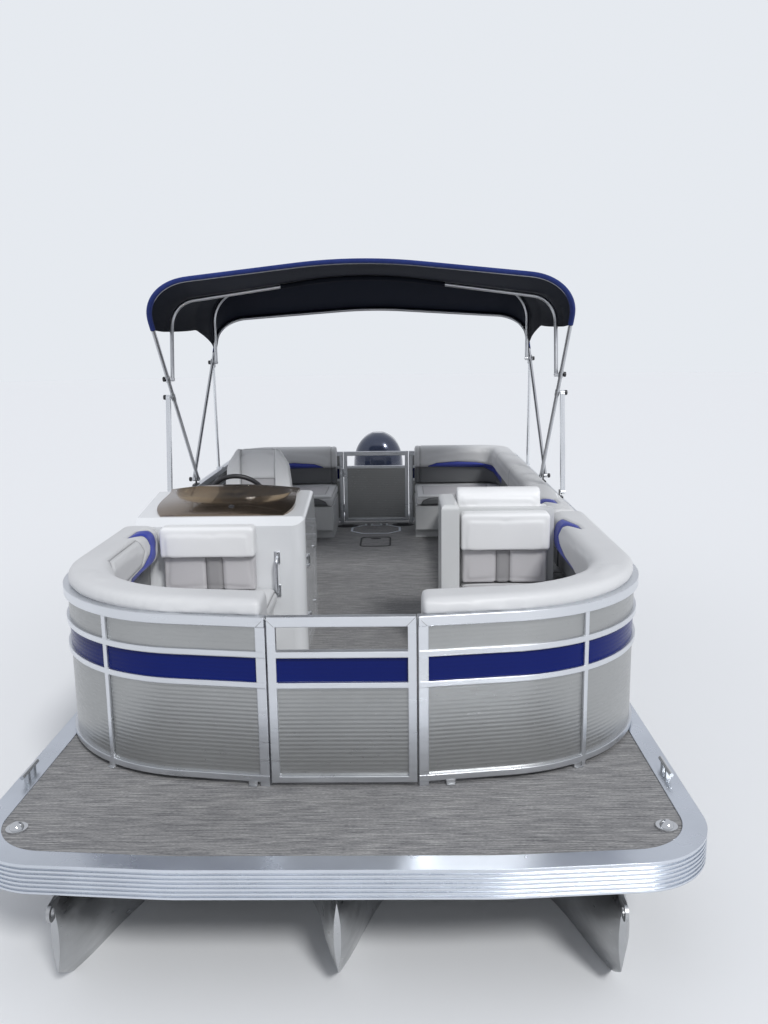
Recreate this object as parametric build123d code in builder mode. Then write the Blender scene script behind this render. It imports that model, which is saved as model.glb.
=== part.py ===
import math
import os

from build123d import *

os.makedirs("parts", exist_ok=True)

# Frame: X to port, bow towards -Y, Z up, origin on the waterline at mid length. Millimetres.

# Driving dimensions of the hull and deck
beam = 2590
deck_length = 6500
deck_top = 500
deck_thickness = 25
deck_corner_radius = 200
bow_corner = 300
bow_flat = 550
bow_sweep = 55
tube_diameter = 635
tube_inset = 345
tube_drop = 130
nose_length = 1000
well_width = 720
well_length = 330

# Driving dimensions of the fence
rail_width = 38
thin_rail_width = 26
sheet_thickness = 3
fence_inset = 35
bow_gate_y = -2671
bow_slope = 0.152
bow_corner_radius = 721
stern_gate_y = 2540
stern_corner_radius = 300
bow_gate_opening = 572
stern_gate_opening = 620
gate_gap = 6

# Heights above the deck: name, underside, top
rail_heights = {
    "bottom": (18, 43),
    "third": (399, 422),
    "second": (520, 544),
    "top": (641, 680),
}

# Clearances
seat_gap = 0.3
fence_gap = 2
hinge_clearance = 0.05
knuckle_gap = 0.5

# Places worked out from the sizes above
half_beam = beam / 2
bow_y = -deck_length / 2
stern_y = deck_length / 2
fence_x = half_beam - fence_inset
tube_spacing = half_beam - tube_inset
deck_under = deck_top - deck_thickness
rail_top = deck_top + rail_heights["top"][1]
bow_radius = 1500


def finish(piece, name):
    """Labels a finished piece and writes it."""
    piece.part.label = name
    export_step(piece.part, f"parts/{name}.step")


def mirrored(piece, name):
    """Writes the same piece on the starboard side."""
    with BuildPart() as other:
        add(piece.part.mirror(Plane.YZ))
    finish(other, name)


def block(low, high, mode=Mode.ADD):
    """Adds a box between two corners."""
    size = [h - l for l, h in zip(low, high)]
    centre = [(l + h) / 2 for l, h in zip(low, high)]
    with Locations(tuple(centre)):
        Box(*size, mode=mode)


def rod(start, end, radius, mode=Mode.ADD):
    """Adds a round bar between two points."""
    direction = Vector(end) - Vector(start)
    with BuildSketch(Plane(origin=start, z_dir=direction)) as section:
        Circle(radius)
    extrude(section.sketch, amount=direction.length, mode=mode)


def slab(points, plane, depth, round_by=0, mode=Mode.ADD):
    """Adds a plate with this outline, from its plane to this depth, corners rounded."""
    with BuildSketch(plane) as outline:
        with BuildLine():
            Polyline(*points, close=True)
        make_face()
        if round_by:
            fillet(outline.vertices(), round_by)
    extrude(outline.sketch, amount=depth, mode=mode)


def deck_outline(inset):
    """Draws the deck's plan, this far inside the beam: a bowed front, and a well open to the stern."""
    slope = bow_sweep / (half_beam - bow_flat)
    side = half_beam - inset
    front = bow_y + inset
    bend = bow_flat - inset * slope / 2
    shoulder = front + slope * (side - bend)
    back = stern_y - inset
    with BuildLine() as outline:
        port_radii = [bow_radius - inset, bow_corner - inset, deck_corner_radius - inset]
        FilletPolyline(
            (bend, front), (side, shoulder), (side, back), (-side, back), (-side, shoulder), (-bend, front),
            radius=port_radii + port_radii[::-1], close=True,
        )
    make_face(outline.edges())
    with Locations((0, stern_y)):
        Rectangle(well_width + 2 * inset, 2 * (well_length + inset), mode=Mode.SUBTRACT)


# Hull: three round tubes with raked noses

tube_radius = tube_diameter / 2
tube_top = deck_top - tube_drop
tube_axis = tube_top - tube_radius
tube_bow = bow_y + 50 + nose_length
tube_stern = stern_y - 120
frame_height = 70
frame_under = deck_under - frame_height

# Nose sections: share of the nose length, top drop, underside rise, share of the half width
nose_sections = (
    (0.0, 0, 0, 1.0),
    (0.15, 0, 12, 0.91),
    (0.45, 3, 80, 0.50),
    (0.8, 12, 225, 0.22),
    (1.0, 20, 360, 0.04),
)
riser_width = 16
riser_flange = 60
riser_share = 0.85
saddle_width = 150
saddle_flange = 8
keel_width = 16
keel_depth = 22


eye_plate = 12
eye_hole = 15
eye_radius = 30
eye_y = bow_y + 32
eye_z = deck_top - 170
eye_length = 90


def hull_tube(name, x, y_end, has_eye):
    """Makes one tube with its nose, saddle and keel strip, and an eye at its nose."""
    with BuildPart() as tube:
        with BuildSketch(Plane(origin=(x, tube_bow, tube_axis), x_dir=(1, 0, 0), z_dir=(0, 1, 0))):
            Circle(tube_radius)
        extrude(amount=y_end - tube_bow)
        for share, drop, rise, width in nose_sections:
            top = tube_radius - drop
            low = -tube_radius + rise
            half = tube_radius * width
            level = (top + low) / 2
            place = (x, tube_bow - share * nose_length, tube_axis)
            with BuildSketch(Plane(origin=place, x_dir=(1, 0, 0), z_dir=(0, -1, 0))):
                with BuildLine():
                    ThreePointArc((0, top), (half, level), (0, low))
                    ThreePointArc((0, low), (-half, level), (0, top))
                make_face()
        loft()
        web = (tube_top - 45, frame_under)
        block((x - saddle_width / 2, tube_bow + 40, web[0]), (x + saddle_width / 2, y_end - 30, web[1]))
        block(
            (x - saddle_width / 2 + saddle_flange, tube_bow + 30, tube_top + 6),
            (x + saddle_width / 2 - saddle_flange, y_end - 20, frame_under - saddle_flange),
            mode=Mode.SUBTRACT,
        )
        riser_bow = tube_bow - riser_share * nose_length
        block((x - riser_width / 2, riser_bow, tube_top - 60), (x + riser_width / 2, tube_bow + 45, frame_under))
        block((x - riser_flange / 2, riser_bow, frame_under - 6), (x + riser_flange / 2, tube_bow + 45, frame_under))
        keel_low = tube_axis - tube_radius - keel_depth
        block((x - keel_width / 2, tube_bow, keel_low), (x + keel_width / 2, y_end - 60, tube_axis - tube_radius + 4))
        if has_eye:
            with BuildSketch(Plane(origin=(x - eye_plate / 2, 0, 0), x_dir=(0, 1, 0), z_dir=(1, 0, 0))) as plate:
                with Locations((eye_y + eye_length / 2, eye_z)):
                    Rectangle(eye_length, 2 * eye_radius)
                with Locations((eye_y, eye_z)):
                    Circle(eye_radius)
                    Circle(eye_hole, mode=Mode.SUBTRACT)
            extrude(plate.sketch, amount=eye_plate)
    finish(tube, name)


pod_bow = stern_y - 560
hull_tube("port_tube", tube_spacing, tube_stern, True)
hull_tube("starboard_tube", -tube_spacing, tube_stern, True)
hull_tube("centre_tube", 0, pod_bow, False)

# Cross members: channels under the deck, open to the stern

member_spacing = 406
member_width = 45
member_wall = 5
member_inset = 45
member_count = 16
first_member = bow_y + 120

with BuildPart() as members:
    for number in range(member_count):
        y = first_member + number * member_spacing
        block((-half_beam, y, frame_under), (half_beam, y + member_width, deck_under))
        block(
            (-half_beam, y + member_wall, frame_under + member_wall),
            (half_beam, y + member_width, deck_under - member_wall),
            mode=Mode.SUBTRACT,
        )
    with BuildSketch(Plane.XY.offset(frame_under)) as plan:
        deck_outline(member_inset)
    extrude(plan.sketch, amount=frame_height, mode=Mode.INTERSECT)
finish(members, "cross_members")

# Deck: plywood under vinyl, with a motor well at the stern and a hatch opening

rub_wall = 8
rub_rib = 6
rub_height = 103
lip_width = 83
lip_thickness = 4
hatch_width = 460
hatch_length = 390
hatch_cut = 110
hatch_y = 2205
hatch_gap = 2
ledge_width = 22
lid_thickness = 18
access_width = 240
access_length = 350
access_centre = (10, 1675)
access_groove = 4


def hatch_points(inset):
    """Gives the corners of the hatch, a rectangle with cut corners."""
    a = hatch_width / 2 - inset
    b = hatch_length / 2 - inset
    c = hatch_cut
    near = hatch_y - b
    far = hatch_y + b
    return [
        (-a, near + c), (-a + c, near), (a - c, near), (a, near + c),
        (a, far - c), (a - c, far), (-a + c, far), (-a, far - c),
    ]


with BuildPart() as deck:
    with BuildSketch(Plane.XY.offset(deck_under)):
        deck_outline(rub_wall + rub_rib)
    extrude(amount=deck_thickness)
    slab(hatch_points(0), Plane.XY.offset(deck_top - lid_thickness), lid_thickness, mode=Mode.SUBTRACT)
    slab(hatch_points(ledge_width), Plane.XY.offset(deck_under), deck_thickness, mode=Mode.SUBTRACT)
    with BuildSketch(Plane.XY.offset(deck_top - access_groove)):
        with Locations(access_centre):
            RectangleRounded(access_width, access_length, 40)
            RectangleRounded(access_width - 2 * access_groove, access_length - 2 * access_groove, 36, mode=Mode.SUBTRACT)
        with Locations((access_centre[0], access_centre[1] + access_length / 2 - 60)):
            SlotOverall(80, 24)
    extrude(amount=access_groove, mode=Mode.SUBTRACT)
finish(deck, "deck")

# Hatch lid: rests on the deck's ledge and is hinged at its stern edge

hatch_barrel = 5
hatch_pin = 2.5
hatch_leaf = 2
hatch_axis = (hatch_y + hatch_length / 2 + hatch_barrel + 3, deck_top + hatch_barrel + 1)
hatch_knuckle = 34
hatch_knuckles = (-70, 70)

with BuildPart() as hatch_lid:
    slab(hatch_points(hatch_gap), Plane.XY.offset(deck_top - lid_thickness + seat_gap), lid_thickness - seat_gap)
    for x in hatch_knuckles:
        low = x - hatch_knuckle / 2
        high = x + hatch_knuckle / 2
        rod((low, *hatch_axis), (high, *hatch_axis), hatch_barrel)
        block((low, hatch_axis[0] - 32, deck_top - 1), (high, hatch_axis[0] - 9, deck_top + hatch_leaf))
        block((low, hatch_axis[0] - 14, deck_top + 0.8), (high, hatch_axis[0], deck_top + hatch_leaf + 3))
        rod((low - 1, *hatch_axis), (high + 1, *hatch_axis), hatch_pin + hinge_clearance, mode=Mode.SUBTRACT)
finish(hatch_lid, "hatch_lid")

with BuildPart() as hatch_hinges:
    for x in hatch_knuckles:
        reach = hatch_knuckle / 2
        rod((x - reach - 22, *hatch_axis), (x + reach + 22, *hatch_axis), hatch_pin)
        for low, high in ((x - reach - 22, x - reach - knuckle_gap), (x + reach + knuckle_gap, x + reach + 22)):
            rod((low, *hatch_axis), (high, *hatch_axis), hatch_barrel)
            block((low, hatch_axis[0], deck_top), (high, hatch_axis[0] + 26, deck_top + hatch_leaf))
            block((low, hatch_axis[0] - 3, deck_top), (high, hatch_axis[0] + 5, hatch_axis[1]))

# Rub rail: a ribbed aluminium trim round the deck with a lip over its edge

rib_count = 7
rib_height = 8

with BuildPart() as rub_rail:
    bottom = deck_top - rub_height
    with BuildSketch(Plane.XY.offset(bottom)):
        deck_outline(rub_rib)
        with BuildSketch(mode=Mode.PRIVATE) as inner:
            deck_outline(rub_rib + rub_wall)
        add(inner.sketch, mode=Mode.SUBTRACT)
    extrude(amount=rub_height)
    for number in range(rib_count):
        pitch = (rub_height - rib_height) / (rib_count - 1)
        with BuildSketch(Plane.XY.offset(bottom + number * pitch)):
            deck_outline(0)
            with BuildSketch(mode=Mode.PRIVATE) as inner:
                deck_outline(rub_rib + rub_wall / 2)
            add(inner.sketch, mode=Mode.SUBTRACT)
        extrude(amount=rib_height)
    with BuildSketch(Plane.XY.offset(deck_top)):
        deck_outline(0)
        with BuildSketch(mode=Mode.PRIVATE) as inner:
            deck_outline(lip_width)
        add(inner.sketch, mode=Mode.SUBTRACT)
    extrude(amount=lip_thickness)
finish(rub_rail, "rub_rail")

# Deck fittings: domed corner lights and mooring cleats on the lip

lip_top = deck_top + lip_thickness
light_inset = 150
light_setback = 262
light_places = (
    (half_beam - light_inset, bow_y + light_setback),
    (light_inset - half_beam, bow_y + light_setback),
)
cleat_places = (
    (half_beam - 42, bow_y + 649),
    (42 - half_beam, bow_y + 649),
    (half_beam - 42, stern_y - 420),
    (42 - half_beam, stern_y - 420),
)
cleat_length = 150
light_base = 38
light_lens = 25
light_rim = 8
light_dome = 28
dome_height = light_dome - light_rim
dome_radius = (light_lens**2 + dome_height**2) / (2 * dome_height)
dome_half_angle = math.asin(light_lens / dome_radius) / 2
dome_middle = (
    dome_radius * math.sin(dome_half_angle),
    light_dome - dome_radius * (1 - math.cos(dome_half_angle)),
)

ladder_width = 330
ladder_x = half_beam - 345 - ladder_width
ladder_axis_y = stern_y + 30
ladder_axis_z = deck_top + 38
ladder_pin = 6
cheek_gap = 16
cheek_width = 6

with BuildPart() as fittings:
    for x, y in cleat_places:
        for step in (-28, 28):
            block((x - 9, y + step - 10, lip_top), (x + 9, y + step + 10, lip_top + 30))
        rod((x, y - cleat_length / 2, lip_top + 32), (x, y + cleat_length / 2, lip_top + 32), 8)
    for x in (ladder_x, ladder_x + ladder_width):
        for sign in (-1, 1):
            left, right = sorted((x + sign * cheek_gap, x + sign * (cheek_gap + cheek_width)))
            block((left, stern_y - 60, lip_top), (right, ladder_axis_y + 12, ladder_axis_z + 12))
        reach = cheek_gap + cheek_width
        rod((x - reach, ladder_axis_y, ladder_axis_z), (x + reach, ladder_axis_y, ladder_axis_z), ladder_pin)
    for x, y in light_places:
        with BuildSketch(Plane(origin=(x, y, deck_top), x_dir=(1, 0, 0), z_dir=(0, -1, 0))):
            with BuildLine():
                Polyline((0, light_dome), (0, 0), (light_base, 0), (light_base, light_rim), (light_lens, light_rim))
                ThreePointArc((light_lens, light_rim), dome_middle, (0, light_dome))
            make_face()
        revolve(axis=Axis((x, y, deck_top), (0, 0, 1)))
finish(fittings, "deck_fittings")

# Fence: square tube rails in three sections a side, with sheet panels between them

post_width = 38
gate_post_x = bow_gate_opening / 2 + post_width / 2
stern_post_x = stern_gate_opening / 2 + post_width / 2
corner_y = bow_gate_y + bow_slope * (fence_x - gate_post_x)
section_gap = 6
bow_section_end = -1250
side_section_end = 1250
bow_start = (gate_post_x - post_width / 2, bow_gate_y)
stern_end = (stern_post_x - post_width / 2, stern_gate_y)

# Fence sections: name, corner points, fillet radius, post places
fence_sections = (
    ("bow", (bow_start, (fence_x, corner_y), (fence_x, bow_section_end)), bow_corner_radius),
    ("side", ((fence_x, bow_section_end + section_gap), (fence_x, side_section_end)), 0),
    ("stern", ((fence_x, side_section_end + section_gap), (fence_x, stern_gate_y), stern_end),
     stern_corner_radius),
)


def fence_line(points, radius):
    """Draws a fence section's centre line."""
    if radius:
        return FilletPolyline(*points, radius=radius)
    return Line(*points)


def fence_band(points, radius, width, level, height):
    """Adds a band of this width along the fence line."""
    with BuildSketch(Plane.XY.offset(deck_top + level)) as band:
        with BuildLine(mode=Mode.PRIVATE) as line:
            fence_line(points, radius)
        trace(line.line, width)
    extrude(band.sketch, amount=height)


post_depth = 14
thin_post_width = 20
thin_post_depth = 11

for section, points, radius in fence_sections:
    with BuildPart() as frame_part:
        for rail, (low, high) in rail_heights.items():
            width = rail_width if rail == "top" else thin_rail_width
            fence_band(points, radius, width, low, high - low)
        with BuildLine(mode=Mode.PRIVATE) as line:
            fence_line(points, radius)
        path = line.wire()
        length = path.length
        count = max(3, round(length / 620) + 1)
        inner = sheet_thickness / 2 + seat_gap
        top_low = rail_heights["top"][0]
        for number in range(count):
            along = post_width / 2 + number * (length - post_width) / (count - 1)
            spot = path @ (along / length)
            heading = path % (along / length)
            side = Vector(-heading.Y, heading.X, 0)
            if side.dot(Vector(0, 0, 0) - Vector(spot)) < 0:
                side = side * -1
            foot_level = lip_top if spot.X > half_beam - lip_width - thin_rail_width else deck_top
            place = Plane(origin=(spot.X, spot.Y, foot_level), x_dir=heading, z_dir=(0, 0, 1))
            turn = 1 if place.y_dir.dot(side) > 0 else -1
            is_end = number in (0, count - 1)
            with BuildSketch(place):
                with Locations((0, turn * (inner + post_depth / 2))):
                    Rectangle(thin_rail_width, post_depth)
            extrude(amount=deck_top + top_low + 2 - foot_level)
            if not is_end:
                with BuildSketch(place):
                    with Locations((0, -turn * (inner + thin_post_depth / 2))):
                        Rectangle(thin_post_width, thin_post_depth)
                extrude(amount=deck_top + top_low + 2 - foot_level)
            if is_end:
                with BuildSketch(place):
                    Rectangle(post_width, thin_rail_width - 2)
                extrude(amount=deck_top + top_low + 2 - foot_level)
    finish(frame_part, f"port_{section}_fence")
    mirrored(frame_part, f"starboard_{section}_fence")

# Panels: silver sheet under the stripe and above it, blue sheet between the two middle rails
panel_levels = {
    "panels": ((rail_heights["bottom"][1], rail_heights["third"][0]),
               (rail_heights["second"][1], rail_heights["top"][0])),
    "stripe": ((rail_heights["third"][1], rail_heights["second"][0]),),
}


def trimmed(points, cut):
    """Shortens a section's line at both ends by this much."""
    first = Vector(*points[0])
    last = Vector(*points[-1])
    start = first + (Vector(*points[1]) - first).normalized() * cut
    end = last + (Vector(*points[-2]) - last).normalized() * cut
    return [(start.X, start.Y), *points[1:-1], (end.X, end.Y)]


for kind, levels in panel_levels.items():
    with BuildPart() as sheet:
        for section, points, radius in fence_sections:
            for low, high in levels:
                fence_band(trimmed(points, post_width + seat_gap), radius, sheet_thickness, low, high - low)
    finish(sheet, f"port_{kind}")
    mirrored(sheet, f"starboard_{kind}")

# Gates: square tube leaves hinged on the starboard posts, swinging inboard

leaf_tube = 32
barrel_radius = 7
pin_radius = 3
knuckle_length = 26
hinge_levels = (130, 470)


def gate(name, y, opening, inward, rails, panels, post_face):
    """Makes a gate leaf with its sheets, and gives the hinge pins on the post."""
    half = opening / 2
    edge = -half + gate_gap
    axis = (-half + 3, y + inward * (leaf_tube / 2 + 10))
    with BuildPart() as leaf:
        for rail in rails:
            low, high = rail_heights[rail]
            block((edge, y - leaf_tube / 2, deck_top + low), (-edge, y + leaf_tube / 2, deck_top + high))
        low = deck_top + rail_heights["bottom"][0]
        for x in (edge, -edge - leaf_tube):
            block((x, y - leaf_tube / 2, low), (x + leaf_tube, y + leaf_tube / 2, rail_top))
        for low, high in panels:
            block(
                (edge + leaf_tube, y - sheet_thickness / 2, deck_top + low),
                (-edge - leaf_tube, y + sheet_thickness / 2, deck_top + high),
            )
        for level in hinge_levels:
            base = deck_top + level
            rod((*axis, base), (*axis, base + knuckle_length), barrel_radius)
            block(
                (edge + 1, min(y, axis[1]), base),
                (edge + 14, max(y, axis[1]), base + knuckle_length),
            )
            rod(
                (*axis, base - 1), (*axis, base + knuckle_length + 1),
                pin_radius + hinge_clearance, mode=Mode.SUBTRACT,
            )
    finish(leaf, name)
    with BuildPart() as pins:
        for level in hinge_levels:
            base = deck_top + level
            top = base + knuckle_length
            rod((*axis, base - knuckle_length), (*axis, top + knuckle_length), pin_radius)
            for low, high in (
                (base - knuckle_length, base - knuckle_gap),
                (top + knuckle_gap, top + knuckle_length),
            ):
                rod((*axis, low), (*axis, high), barrel_radius)
                reach = sorted((axis[1], y + inward * post_face))
                block((-half - 24, reach[0], low), (axis[0], reach[1], high))
    return pins


post_face = sheet_thickness / 2 + seat_gap + post_depth
bow_pins = gate("bow_gate", bow_gate_y, bow_gate_opening, 1, ("bottom", "third", "second", "top"),
                ((43, 399), (422, 520)), post_face + 4.1)
stern_pins = gate("stern_gate", stern_gate_y, stern_gate_opening, -1, ("bottom", "second", "top"), ((43, 520),),
                  post_face)

# Furniture: moulded bases, cushions along the fence, backs and rolls

cushion_inset = rail_width / 2 + fence_gap
base_height = 290
cushion_height = 100
seat_round = 16
seat_top = deck_top + base_height + cushion_height
bolster_top = deck_top + 742
pad_depth = 110
roll_depth = 165
roll_height = 195
roll_round = 28
bolster_inset = 30
base_inset = fence_x - half_beam + lip_width + 2
toe_kick = 70
toe_height = 80


def inside_fence(inset):
    """Draws the plan inside the fence, this far inside its centre line."""
    x = fence_x - inset
    front = bow_gate_y + inset
    back = stern_gate_y - inset
    bend = front + bow_slope * (x - gate_post_x)
    with BuildLine() as outline:
        FilletPolyline(
            (0, front), (gate_post_x, front), (x, bend), (x, back), (0, back),
            radius=[10, bow_corner_radius - inset, stern_corner_radius - inset],
        )
        Line((0, back), (0, front))
    make_face(outline.edges())


def area(x_low, x_high, y_low, y_high, mode=Mode.INTERSECT):
    """Keeps or cuts a rectangle of the plan."""
    with Locations(((x_low + x_high) / 2, (y_low + y_high) / 2)):
        Rectangle(x_high - x_low, y_high - y_low, mode=mode)


def along_fence(x_low, x_high, y_low, y_high, low, high, inset=cushion_inset):
    """Adds a solid that fills a rectangle of the plan out to the fence."""
    with BuildSketch(Plane.XY.offset(low)) as plan:
        inside_fence(inset)
        area(x_low, x_high, y_low, y_high)
    extrude(plan.sketch, amount=high - low)


def bolster(points, corner, over_rail=False):
    """Sweeps the back cushion along the fence: a pad, and a thicker roll that may lie over the rail."""
    pad_inner = bolster_inset + pad_depth
    roll_inner = bolster_inset + roll_depth
    low = seat_top + seat_gap
    roll_low = bolster_top - roll_height
    profile = [
        (bolster_inset, low, 0), (pad_inner, low, 0), (pad_inner, roll_low, 10), (roll_inner, roll_low, 40),
        (roll_inner, bolster_top, 55),
    ]
    if over_rail:
        shelf = rail_top + seat_gap
        profile += [(0, bolster_top, roll_round), (0, shelf, 4), (bolster_inset, shelf, 0)]
    else:
        profile += [(bolster_inset, bolster_top, roll_round)]
    with BuildLine() as path:
        FilletPolyline(*points, radius=corner)
    heading = path.line % 0
    inward = Vector(-heading.Y, heading.X)
    if inward.dot(Vector(0, 0) - (path.line @ 0)) < 0:
        inward = inward * -1
    start = path.line @ 0
    up = Vector(0, 0, 1)
    facing = inward.cross(up)
    with BuildSketch(Plane(origin=start, x_dir=inward, z_dir=facing)) as section:
        with BuildLine():
            FilletPolyline(*((u, z) for u, z, _ in profile), radius=[turn for *_, turn in profile], close=True)
        make_face()
    sweep(section.sketch, path=path.line)


def top_edges(piece):
    """Gives the edges of a piece's highest face."""
    return piece.edges().group_by(Axis.Z)[-1]


base_top = deck_top + base_height
bow_back_y = -1080
bow_inner_x = bow_gate_opening / 2 + 154
gate_clear_x = bow_gate_opening / 2 + 14
bolster_start = (bow_start[0] - 40, bow_start[1] - 40 * bow_slope)
lounge_front = bow_gate_y

arm_width = 95
arm_round = 30
arm_reach = 170
shell_depth = 210
shell_outer = fence_x - bolster_inset - roll_depth - 5
console_bow = -1190


def bow_lounge(side, end_y, arm):
    """Makes a bow lounge's base, seat and fence cushion, on the port side."""
    with BuildPart() as base:
        along_fence(bow_inner_x + 30, fence_x, lounge_front, end_y, deck_top, base_top, inset=base_inset)
        block((bow_inner_x, lounge_front, deck_top - 1), (bow_inner_x + toe_kick, end_y, deck_top + toe_height),
              mode=Mode.SUBTRACT)
        if arm:
            outer = fence_x - base_inset
            block((bow_inner_x, end_y, deck_top), (outer, end_y + shell_depth, base_top))
            block((bow_inner_x, end_y, base_top - 1), (shell_outer, end_y + shell_depth, deck_top + 790))
            block((bow_inner_x, end_y - arm_reach, deck_top + toe_height),
                  (bow_inner_x + arm_width, end_y + shell_depth, deck_top + 840))
            block((bow_inner_x + arm_width, end_y + 60, base_top), (outer + 1, end_y + shell_depth + 1, deck_top + 900),
                  mode=Mode.SUBTRACT)
            fillet(top_edges(base), arm_round)
    with BuildPart() as cushion:
        along_fence(bow_inner_x, fence_x, lounge_front, end_y - seat_gap, base_top + seat_gap, seat_top)
        if arm:
            block((bow_inner_x - 1, end_y - arm_reach - seat_gap, base_top),
                  (bow_inner_x + arm_width + seat_gap, end_y, seat_top + 1), mode=Mode.SUBTRACT)
        fillet(top_edges(cushion), seat_round)
    with BuildPart() as back:
        bolster_end = end_y + shell_depth - 10 if arm else end_y - seat_gap
        bolster((bolster_start, (fence_x, corner_y), (fence_x, bolster_end)), bow_corner_radius, over_rail=True)
        block((0, bow_gate_y - 100, seat_top), (gate_clear_x, bow_gate_y + 400, bolster_top + 50), mode=Mode.SUBTRACT)
    write = finish if side == "port" else mirrored
    write(base, f"{side}_bow_base")
    write(cushion, f"{side}_bow_seat")
    write(back, f"{side}_bow_bolster")


bow_lounge("port", bow_back_y, True)
bow_lounge("starboard", console_bow, False)

back_depth = 100
back_split = deck_top + 572
back_round = 24


def backrest(x_low, x_high, y, top):
    """Makes a backrest that faces the bow: a lower panel, and a thicker cushion over it."""
    with BuildPart() as back:
        block((x_low + 8, y - back_depth + 22, seat_top + seat_gap), (x_high - 8, y, back_split + 1))
        block((x_low, y - back_depth - 14, back_split), (x_high, y, top))
        fillet(top_edges(back), back_round)
    return back


port_back = backrest(bow_inner_x + 105, fence_x - 235, bow_back_y - seat_gap, deck_top + 785)
finish(port_back, "port_bow_backrest")
starboard_back = backrest(215 - fence_x, -bow_inner_x - 100, console_bow - seat_gap, deck_top + 745)
finish(starboard_back, "starboard_bow_backrest")

# Stern lounges: an L to port with a roll at its bow end, and a bench to starboard

lounge_inner_x = fence_x - 640
stern_bench_y = 1760
stern_inner_x = stern_gate_opening / 2 + 50
lounge_bow_y = bow_back_y + 212
bench_toe = stern_bench_y + 30 + toe_kick

with BuildPart() as port_base:
    along_fence(lounge_inner_x + 30, fence_x, lounge_bow_y, stern_gate_y, deck_top, base_top, base_inset)
    along_fence(stern_inner_x, fence_x, stern_bench_y + 30, stern_gate_y, deck_top, base_top, base_inset)
    block((stern_inner_x - 1, stern_bench_y, deck_top - 1), (lounge_inner_x + 31, bench_toe, deck_top + toe_height),
          mode=Mode.SUBTRACT)
    block((lounge_inner_x, lounge_bow_y - 1, deck_top - 1),
          (lounge_inner_x + 30 + toe_kick, bench_toe, deck_top + toe_height), mode=Mode.SUBTRACT)
finish(port_base, "port_stern_base")

with BuildPart() as port_seat:
    along_fence(lounge_inner_x, fence_x, lounge_bow_y, stern_bench_y - seat_gap, base_top + seat_gap, seat_top)
    along_fence(stern_inner_x, fence_x, stern_bench_y, stern_gate_y, base_top + seat_gap, seat_top)
    fillet(top_edges(port_seat), seat_round)
finish(port_seat, "port_stern_seat")

with BuildPart() as port_bolster:
    bolster(((fence_x, lounge_bow_y + 20), (fence_x, stern_gate_y), (stern_inner_x, stern_gate_y)),
            stern_corner_radius)
finish(port_bolster, "port_stern_bolster")

with BuildPart() as headrest:
    low = seat_top + seat_gap
    roll_start = bow_inner_x + arm_width + seat_gap
    cushion_front = bow_back_y + 60 + seat_gap
    block((roll_start, cushion_front, low), (fence_x - 210, cushion_front + 140, deck_top + 780))
    rod((roll_start, bow_back_y + 140, deck_top + 820), (fence_x - 260, bow_back_y + 140, deck_top + 820), 68)
finish(headrest, "port_headrest")

with BuildPart() as bench_base:
    along_fence(stern_inner_x, fence_x, stern_bench_y + 30, stern_gate_y, deck_top, base_top, base_inset)
    block((stern_inner_x - 1, stern_bench_y, deck_top - 1), (fence_x, bench_toe, deck_top + toe_height),
          mode=Mode.SUBTRACT)
mirrored(bench_base, "starboard_stern_base")

with BuildPart() as bench_seat:
    along_fence(stern_inner_x, fence_x, stern_bench_y, stern_gate_y, base_top + seat_gap, seat_top)
    fillet(top_edges(bench_seat), seat_round)
mirrored(bench_seat, "starboard_stern_seat")

with BuildPart() as bench_bolster:
    bolster(((fence_x, stern_bench_y), (fence_x, stern_gate_y), (stern_inner_x, stern_gate_y)), stern_corner_radius)
mirrored(bench_bolster, "starboard_stern_bolster")

# Helm console: a moulded shell with a locker behind a side door and a sloping dash

console_width = 910
console_outer = 60 - fence_x
console_inner = console_outer + console_width
console_middle = console_outer + console_width / 2
console_knee = -560
dash_top = (-650, 1330)
dash_foot = (-500, 1062)
door_thickness = 18
door_low = deck_top + 70
door_high = deck_top + 620
door_bow = -1080
door_stern = -690
shell_wall = 12
console_corner = 70
console_rim = 22
gauge_radius = 38
gauge_spacing = 105
gauge_share = 0.16
lever_x = console_inner - 85
latch_radius = 13


def on_dash(share, off=0):
    """Gives the Y and Z of a place on the dash, this far down it and this far off its face."""
    run = Vector(dash_foot[0] - dash_top[0], dash_foot[1] - dash_top[1])
    out = Vector(-run.Y, run.X).normalized()
    return (dash_top[0] + share * run.X + off * out.X, dash_top[1] + share * run.Y + off * out.Y)


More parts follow.
